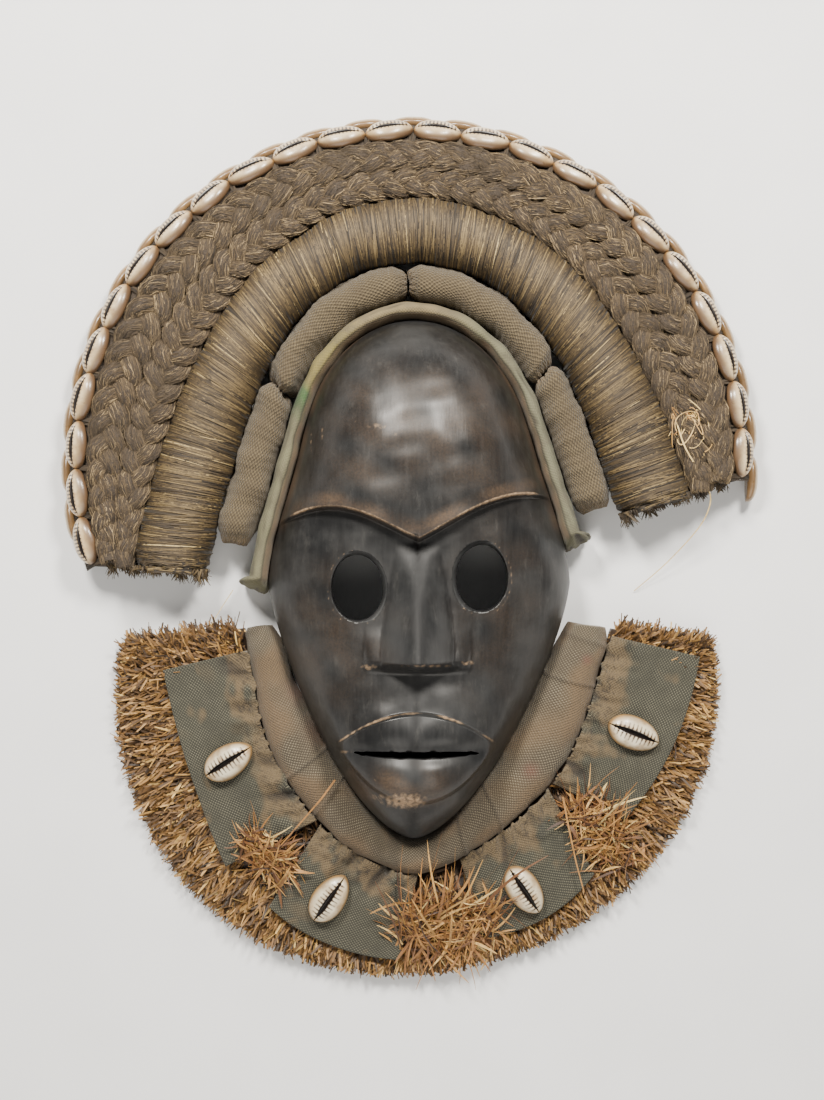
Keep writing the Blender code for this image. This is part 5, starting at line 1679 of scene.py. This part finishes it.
def raffia_look(name, shades):
    look = Look(name, 0.6)
    streak = look.noise(0.0012, 4.0)
    stops = [(k / (len(shades) - 1), shade) for k, shade in enumerate(shades)]
    tint = look.ramp(look.value("tone"), *stops)
    tint = look.stain(tint, (0.050, 0.024, 0.009), streak, 0.48, 0.80, 0.65)
    return look.done(tint, look.bump(streak, 0.0003, 0.6))


def show_past(share):
    """How far the fringe shows past the canvas at shares of the collar."""
    marks, shows = [], []
    for panel in PANELS:
        t = np.linspace(0.0, 1.0, 9)
        marks += list(blend(panel[2], panel[3], t))
        shows += list(set_back(panel, t))
    return np.interp(share, marks, shows)


def collar_depth(share):
    """How deep the collar is outside its roll at shares of its length."""
    place = share * COLLAR_SIDES
    return np.linalg.norm(on_line(COLLAR_RIM, place) - outside_roll(place), axis=-1)


FRINGE_ROWS = 481
FRINGE_TOP = 0.0105
FRINGE_EDGE = 0.0068
# Slope of the fringe past the canvas: share of the way to the rim and height
FRINGE_SLOPE = ((0.25, 0.0075), (0.55, 0.0060), (0.80, 0.0032), (0.88, 0.001))


def build_fringe():
    """Cut fibre packed below the canvas, its ends showing along the rim."""
    look = raffia_look("cut_fibre", FRINGE_SHADES)
    pick = np.random.default_rng(120)
    share = np.linspace(0.0, 1.0, FRINGE_ROWS)
    place = share * COLLAR_SIDES
    rim = on_line(COLLAR_RIM, place)
    ahead = unit(rim - on_line(JAW_FOOT, place))
    near = outside_roll(place)
    edge = rim - ahead * show_past(share)[:, None]
    ring = [raised(near, 0.0), raised(near, FRINGE_TOP), raised(edge, FRINGE_EDGE)]
    for t, z in FRINGE_SLOPE:
        ring.append(raised(edge + (rim - edge) * t, z))
    rings = np.stack(ring, 1)
    # The base under the blades takes the darkest tone: painted shade between the blades
    tube("fringe", rings, look, "raffia", ["raffia_fringe"], tone=np.zeros(rings.shape[:2]))
    count = FRINGE_COUNT
    share = pick.uniform(0.0, 1.0, count)
    past = show_past(share)
    back = np.maximum(past, 0.0065) * pick.uniform(-0.02, 1.20, count)
    clump = wobble((share * 900.0)[:, None], 22.0, 121)
    tone = 0.40 + 0.21 * pick.normal(size=count) + 0.12 * clump
    turn = pick.normal(0.0, 24.0, count) + 16.0 * wobble((share * 900.0)[:, None], 30.0, 122)
    sets = [(share, back, turn, tone, np.where((past > 0) & (back > past), 0.0095, 0.0150))]
    for first, last, way in ((0.0, 0.046, -62.0), (0.968, 1.0, 62.0)):
        some = FRINGE_END_COUNT
        share = blend(first, last, pick.uniform(0.0, 1.0, some))
        back = collar_depth(share) * pick.uniform(0.0, 0.96, some)
        turn = way * pick.uniform(0.2, 1.5, some) + pick.normal(0.0, 18.0, some)
        sets.append((share, back, turn, 0.34 + 0.22 * pick.normal(size=some), np.full(some, 0.0140)))
    for before, after in zip(PANELS[:-1], PANELS[1:]):
        some = FRINGE_GAP_COUNT
        share = blend(before[1] - 0.012, after[0] + 0.012, pick.uniform(0.0, 1.0, some))
        back = collar_depth(share) * pick.uniform(0.45, 0.97, some)
        turn = pick.normal(0.0, 50.0, some)
        sets.append((share, back, turn, 0.22 + 0.18 * pick.normal(size=some), np.full(some, 0.0135)))
    share, back, turn, tone, under = (np.concatenate(part) for part in zip(*sets))
    paths, widths = blade_paths(pick, share, back, turn, under)
    facing = unit(UP + pick.normal(0, 0.5, (len(share), 3)))[:, None, :]
    fibres("fringe_ends", paths, widths, facing, look, "raffia", np.clip(tone, 0.0, 1.0), ["raffia_fringe"])


def blade_paths(pick, share, back, turn, under):
    """Cut blades rooted a way back from the rim and trimmed just past it."""
    count = len(share)
    place = share * COLLAR_SIDES
    rim = on_line(COLLAR_RIM, place)
    out = unit(rim - on_line(JAW_FOOT, place))
    way = swung(out, np.radians(turn))
    lift = np.radians(pick.uniform(-8.0, 42.0, count))
    ahead = np.maximum(np.cos(np.radians(turn)) * np.cos(lift), 0.15)
    trim = (back + 0.004 + pick.uniform(-0.0015, 0.0042, count)) / ahead
    long = np.clip(np.minimum(pick.uniform(0.0055, 0.0135, count), trim), 0.003, 0.0135)
    t = np.linspace(0.0, 1.0, 4)[None, :]
    root = rim - out * np.maximum(back, 0.0)[:, None]
    start = np.interp(back, (0.0, 0.003, 0.008, 0.030), (0.0025, 0.0058, 0.0072, 0.0100))
    start = start * pick.uniform(0.55, 1.05, count)
    plan = root[:, None, :] + way[:, None, :] * (long[:, None] * t * np.cos(lift)[:, None] - 0.004)[..., None]
    z = start[:, None] + long[:, None] * t * np.sin(lift)[:, None]
    z = z - 0.35 * long[:, None] * t * t * pick.uniform(0.0, 1.0, count)[:, None]
    paths = raised(plan, np.clip(z, 0.0007, under[:, None]))
    widths = pick.uniform(0.0004, 0.0013, (count, 1)) * np.array((0.9, 1.0, 0.95, 0.70))[None, :]
    return paths, widths


FRINGE_SHADES = (
    (0.020, 0.010, 0.004), (0.080, 0.040, 0.012), (0.215, 0.108, 0.029),
    (0.420, 0.240, 0.068), (0.62, 0.44, 0.16),
)
TUFT_SHADES = (
    (0.036, 0.014, 0.005), (0.150, 0.060, 0.017), (0.300, 0.140, 0.036),
    (0.470, 0.265, 0.075), (0.66, 0.49, 0.20),
)
# Blades of a tuft for each metre of its reach, and long ones for each metre of its extra reach
TUFT_BLADES = 30000
TUFT_LONG_BLADES = 1500
# Spread of each tuft along and across its own direction, in shares of its reach
TUFT_SPREAD = ((0.55, 0.28, -45.0), (0.60, 0.34, 0.0), (0.62, 0.36, 130.0))


def build_tufts():
    """Bundles of blades sewn through between the panels and spread over them."""
    look = raffia_look("tuft_fibre", TUFT_SHADES)
    for number, (share, across, reach, more, lean) in enumerate(TUFTS):
        pick = np.random.default_rng(130 + number)
        place = np.array([share * COLLAR_SIDES])
        rim = on_line(COLLAR_RIM, place)[0]
        root = outside_roll(place)[0]
        spot = root + (rim - root) * across
        short = int(TUFT_BLADES * reach)
        few = int(TUFT_LONG_BLADES * more)
        count = short + few
        angle = np.concatenate([pick.uniform(0.0, 360.0, short), pick.normal(lean, 22.0, few)])
        way = heading(angle)
        long = np.concatenate([
            reach * pick.uniform(0.30, 1.05, short), (reach + more) * pick.uniform(0.60, 1.05, few),
        ])
        lift = np.radians(np.concatenate([pick.uniform(0.0, 62.0, short), pick.uniform(12.0, 40.0, few)]))
        t = np.linspace(0.0, 1.0, 6)[None, :]
        wide, narrow, slant = TUFT_SPREAD[number]
        axes = np.stack([heading(slant) * wide, heading(slant + 90.0) * narrow]) * reach
        base = spot + np.clip(pick.normal(0.0, 0.9, (count, 2)), -1.5, 1.5) @ axes
        bend = pick.normal(0.0, 0.24, count)[:, None] * t * t * long[:, None]
        out = t * long[:, None] * np.cos(lift)[:, None] - 0.15 * long[:, None]
        plan = base[:, None, :] + way[:, None, :] * out[..., None]
        plan = plan + quarter(way)[:, None, :] * bend[..., None]
        climb = np.sin(lift)[:, None]
        z = CANVAS_INNER - 0.004 + 0.6 * t * long[:, None] * climb
        z = z - 0.50 * (t * t) * long[:, None] * climb * pick.uniform(0.2, 1.0, count)[:, None]
        z = z + pick.uniform(0.0, 0.007, count)[:, None]
        z[short:] += 0.010 * np.sin(np.pi * 0.5 * t)
        drop = np.clip(np.linalg.norm(plan - COLLAR_CENTRE, axis=-1) - 0.100, 0.0, 0.02)
        z = np.maximum(z - 0.35 * drop, 0.002)
        loose_fibres(
            pick, "tuft_%d" % (number + 1), raised(plan, z), (0.0003, 0.0014),
            (0.7, 0.95, 1.0, 0.90, 0.65, 0.20), 0.6, (0.42, 0.27), look, "tuft_raffia",
            "raffia_tuft_%d" % (number + 1),
        )


# Loose strands: corner points in the photograph with their heights, width, tone and piece they belong to
STRANDS = (
    ("tuft_strand_1", ((335, 780, 0.028), (322, 798, 0.029), (303, 820, 0.025), (281, 845, 0.022)),
     0.0009, 0.50, "tuft_raffia", "raffia_tuft_1"),
    ("tuft_strand_2", ((563, 797, 0.024), (568, 824, 0.023), (576, 862, 0.021), (584, 892, 0.018)),
     0.0009, 0.55, "tuft_raffia", "raffia_tuft_3"),
    ("fan_strand", ((676, 420, 0.027), (684, 447, 0.029), (700, 472, 0.026), (713, 497, 0.022),
                    (705, 520, 0.018), (689, 540, 0.013), (664, 566, 0.006), (634, 591, 0.0008)),
     0.0007, 0.95, "plaited_fibre", "braided_fan"),
    ("tail_thread", ((233, 590, 0.018), (222, 607, 0.014), (203, 638, 0.009)),
     0.0004, 1.0, "green_cloth", "green_binding"),
)


def build_strands():
    """Single strands that have come loose, and the tangle at the right end of the fan."""
    look = raffia_look("loose_strand", TUFT_SHADES)
    for name, marks, width, tone, slot, node in STRANDS:
        marks = np.array(marks, float)
        run = np.linspace(0.0, len(marks) - 1.0, 32)
        smooth = np.stack([np.interp(run, np.arange(len(marks)), marks[:, axis]) for axis in range(3)], -1)
        for _ in range(3):
            smooth[1:-1] = (smooth[:-2] + smooth[1:-1] * 2.0 + smooth[2:]) / 4.0
        path = raised(np.stack(photo_point(smooth[:, 0], smooth[:, 1], smooth[:, 2]), -1), smooth[:, 2])
        widths = np.full((1, 32), width) * np.linspace(1.0, 0.6, 32)
        fibres(name, path[None], widths, UP, look, slot, np.array([tone]), [node])
    pick = np.random.default_rng(140)
    count = TANGLE_COUNT
    t = np.linspace(0.0, 1.0, 20)[None, :]
    x, y = photo_point(688.0, 426.0, 0.024)
    centre = np.array((x, y, 0.0250)) + pick.normal(0.0, 1.0, (count, 3)) * (0.0022, 0.0034, 0.0012)
    turn = pick.uniform(0.0, 2.0 * np.pi, (count, 3))
    rate = pick.uniform(2.0, 7.0, (count, 3))
    size = pick.uniform(0.0016, 0.0062, (count, 1)) * (1.0, 1.4, 0.30)
    paths = centre[:, None, :] + size[:, None, :] * np.sin(turn[:, None, :] + rate[:, None, :] * t[..., None])
    paths[..., 2] = np.maximum(paths[..., 2], FAN_HEIGHT + 0.0006)
    loose_fibres(
        pick, "fan_tangle", paths, (0.00025, 0.00050), np.ones(20), 0.3,
        (0.80, 0.15), look, "plaited_fibre", "braided_fan",
    )


# Camera, light and floor

SENSOR = 24.0
FLOOR_REACH = 3.0
FLOOR_DROP = 0.0005
# Each light: its name, place, size in metres and power in watts
LIGHTS = (
    ("softbox_left", (-0.29, 0.56, 0.78), 0.20, 16.5),
    ("softbox_right", (0.29, 0.56, 0.78), 0.20, 16.5),
    ("fill", (0.0, -0.75, 0.75), 1.2, 9.0),
)
LIGHT_COLOUR = (1.0, 0.95, 0.87)
LIT_MIDDLE = Vector((0.0, 0.0, 0.03))
SKY_COLOUR = (0.91, 0.89, 0.86, 1.0)
SKY_STRENGTH = 0.32


def build_stage():
    floor_plane()
    camera = bpy.data.cameras.new("camera")
    camera.sensor_fit = "VERTICAL"
    camera.sensor_height = SENSOR
    half = PHOTO_TALL * PHOTO_SCALE / 2.0
    camera.lens = SENSOR / 2.0 * (CAMERA_HEIGHT - PHOTO_LEVEL) / half
    holder = bpy.data.objects.new("camera", camera)
    bpy.context.scene.collection.objects.link(holder)
    centre = (PHOTO_MIDDLE[0] - PHOTO_ORIGIN[0], PHOTO_ORIGIN[1] - PHOTO_MIDDLE[1])
    holder.location = (centre[0] * PHOTO_SCALE, centre[1] * PHOTO_SCALE, CAMERA_HEIGHT)
    bpy.context.scene.camera = holder
    for name, place, size, power_watts in LIGHTS:
        softbox(name, Vector(place), size, power_watts)
    world = bpy.data.worlds.new("pale")
    world.use_nodes = True
    background = world.node_tree.nodes["Background"]
    background.inputs["Color"].default_value = SKY_COLOUR
    background.inputs["Strength"].default_value = SKY_STRENGTH
    bpy.context.scene.world = world


def softbox(name, place, size, power_watts):
    light = bpy.data.lights.new(name, "AREA")
    light.shape = "DISK"
    light.size = size
    light.energy = power_watts
    light.color = LIGHT_COLOUR
    made = bpy.data.objects.new(name, light)
    made.location = place
    made.rotation_euler = (LIT_MIDDLE - place).to_track_quat("-Z", "Y").to_euler()
    bpy.context.scene.collection.objects.link(made)


def floor_plane():
    look = Look("pale_floor", 0.7)
    tone = look.ramp(look.noise(0.05, 2.0), (0.3, (0.78, 0.79, 0.80)), (0.7, (0.82, 0.83, 0.84)))
    mesh = bpy.data.meshes.new("floor")
    far = FLOOR_REACH
    mesh.from_pydata([(-far, -far, 0), (far, -far, 0), (far, far, 0), (-far, far, 0)], [], [(0, 1, 2, 3)])
    mesh.materials.append(look.done(tone))
    made = bpy.data.objects.new("floor", mesh)
    made.location.z = -FLOOR_DROP
    bpy.context.scene.collection.objects.link(made)
    return made


def main():
    build_stage()
    build_face()
    build_binding()
    build_ribbed()
    build_wrapped()
    build_fan()
    build_border_shells()
    build_rim_shells()
    build_collar_roll()
    build_fringe()
    build_canvas()
    build_collar_shells()
    build_tufts()
    build_strands()


main()
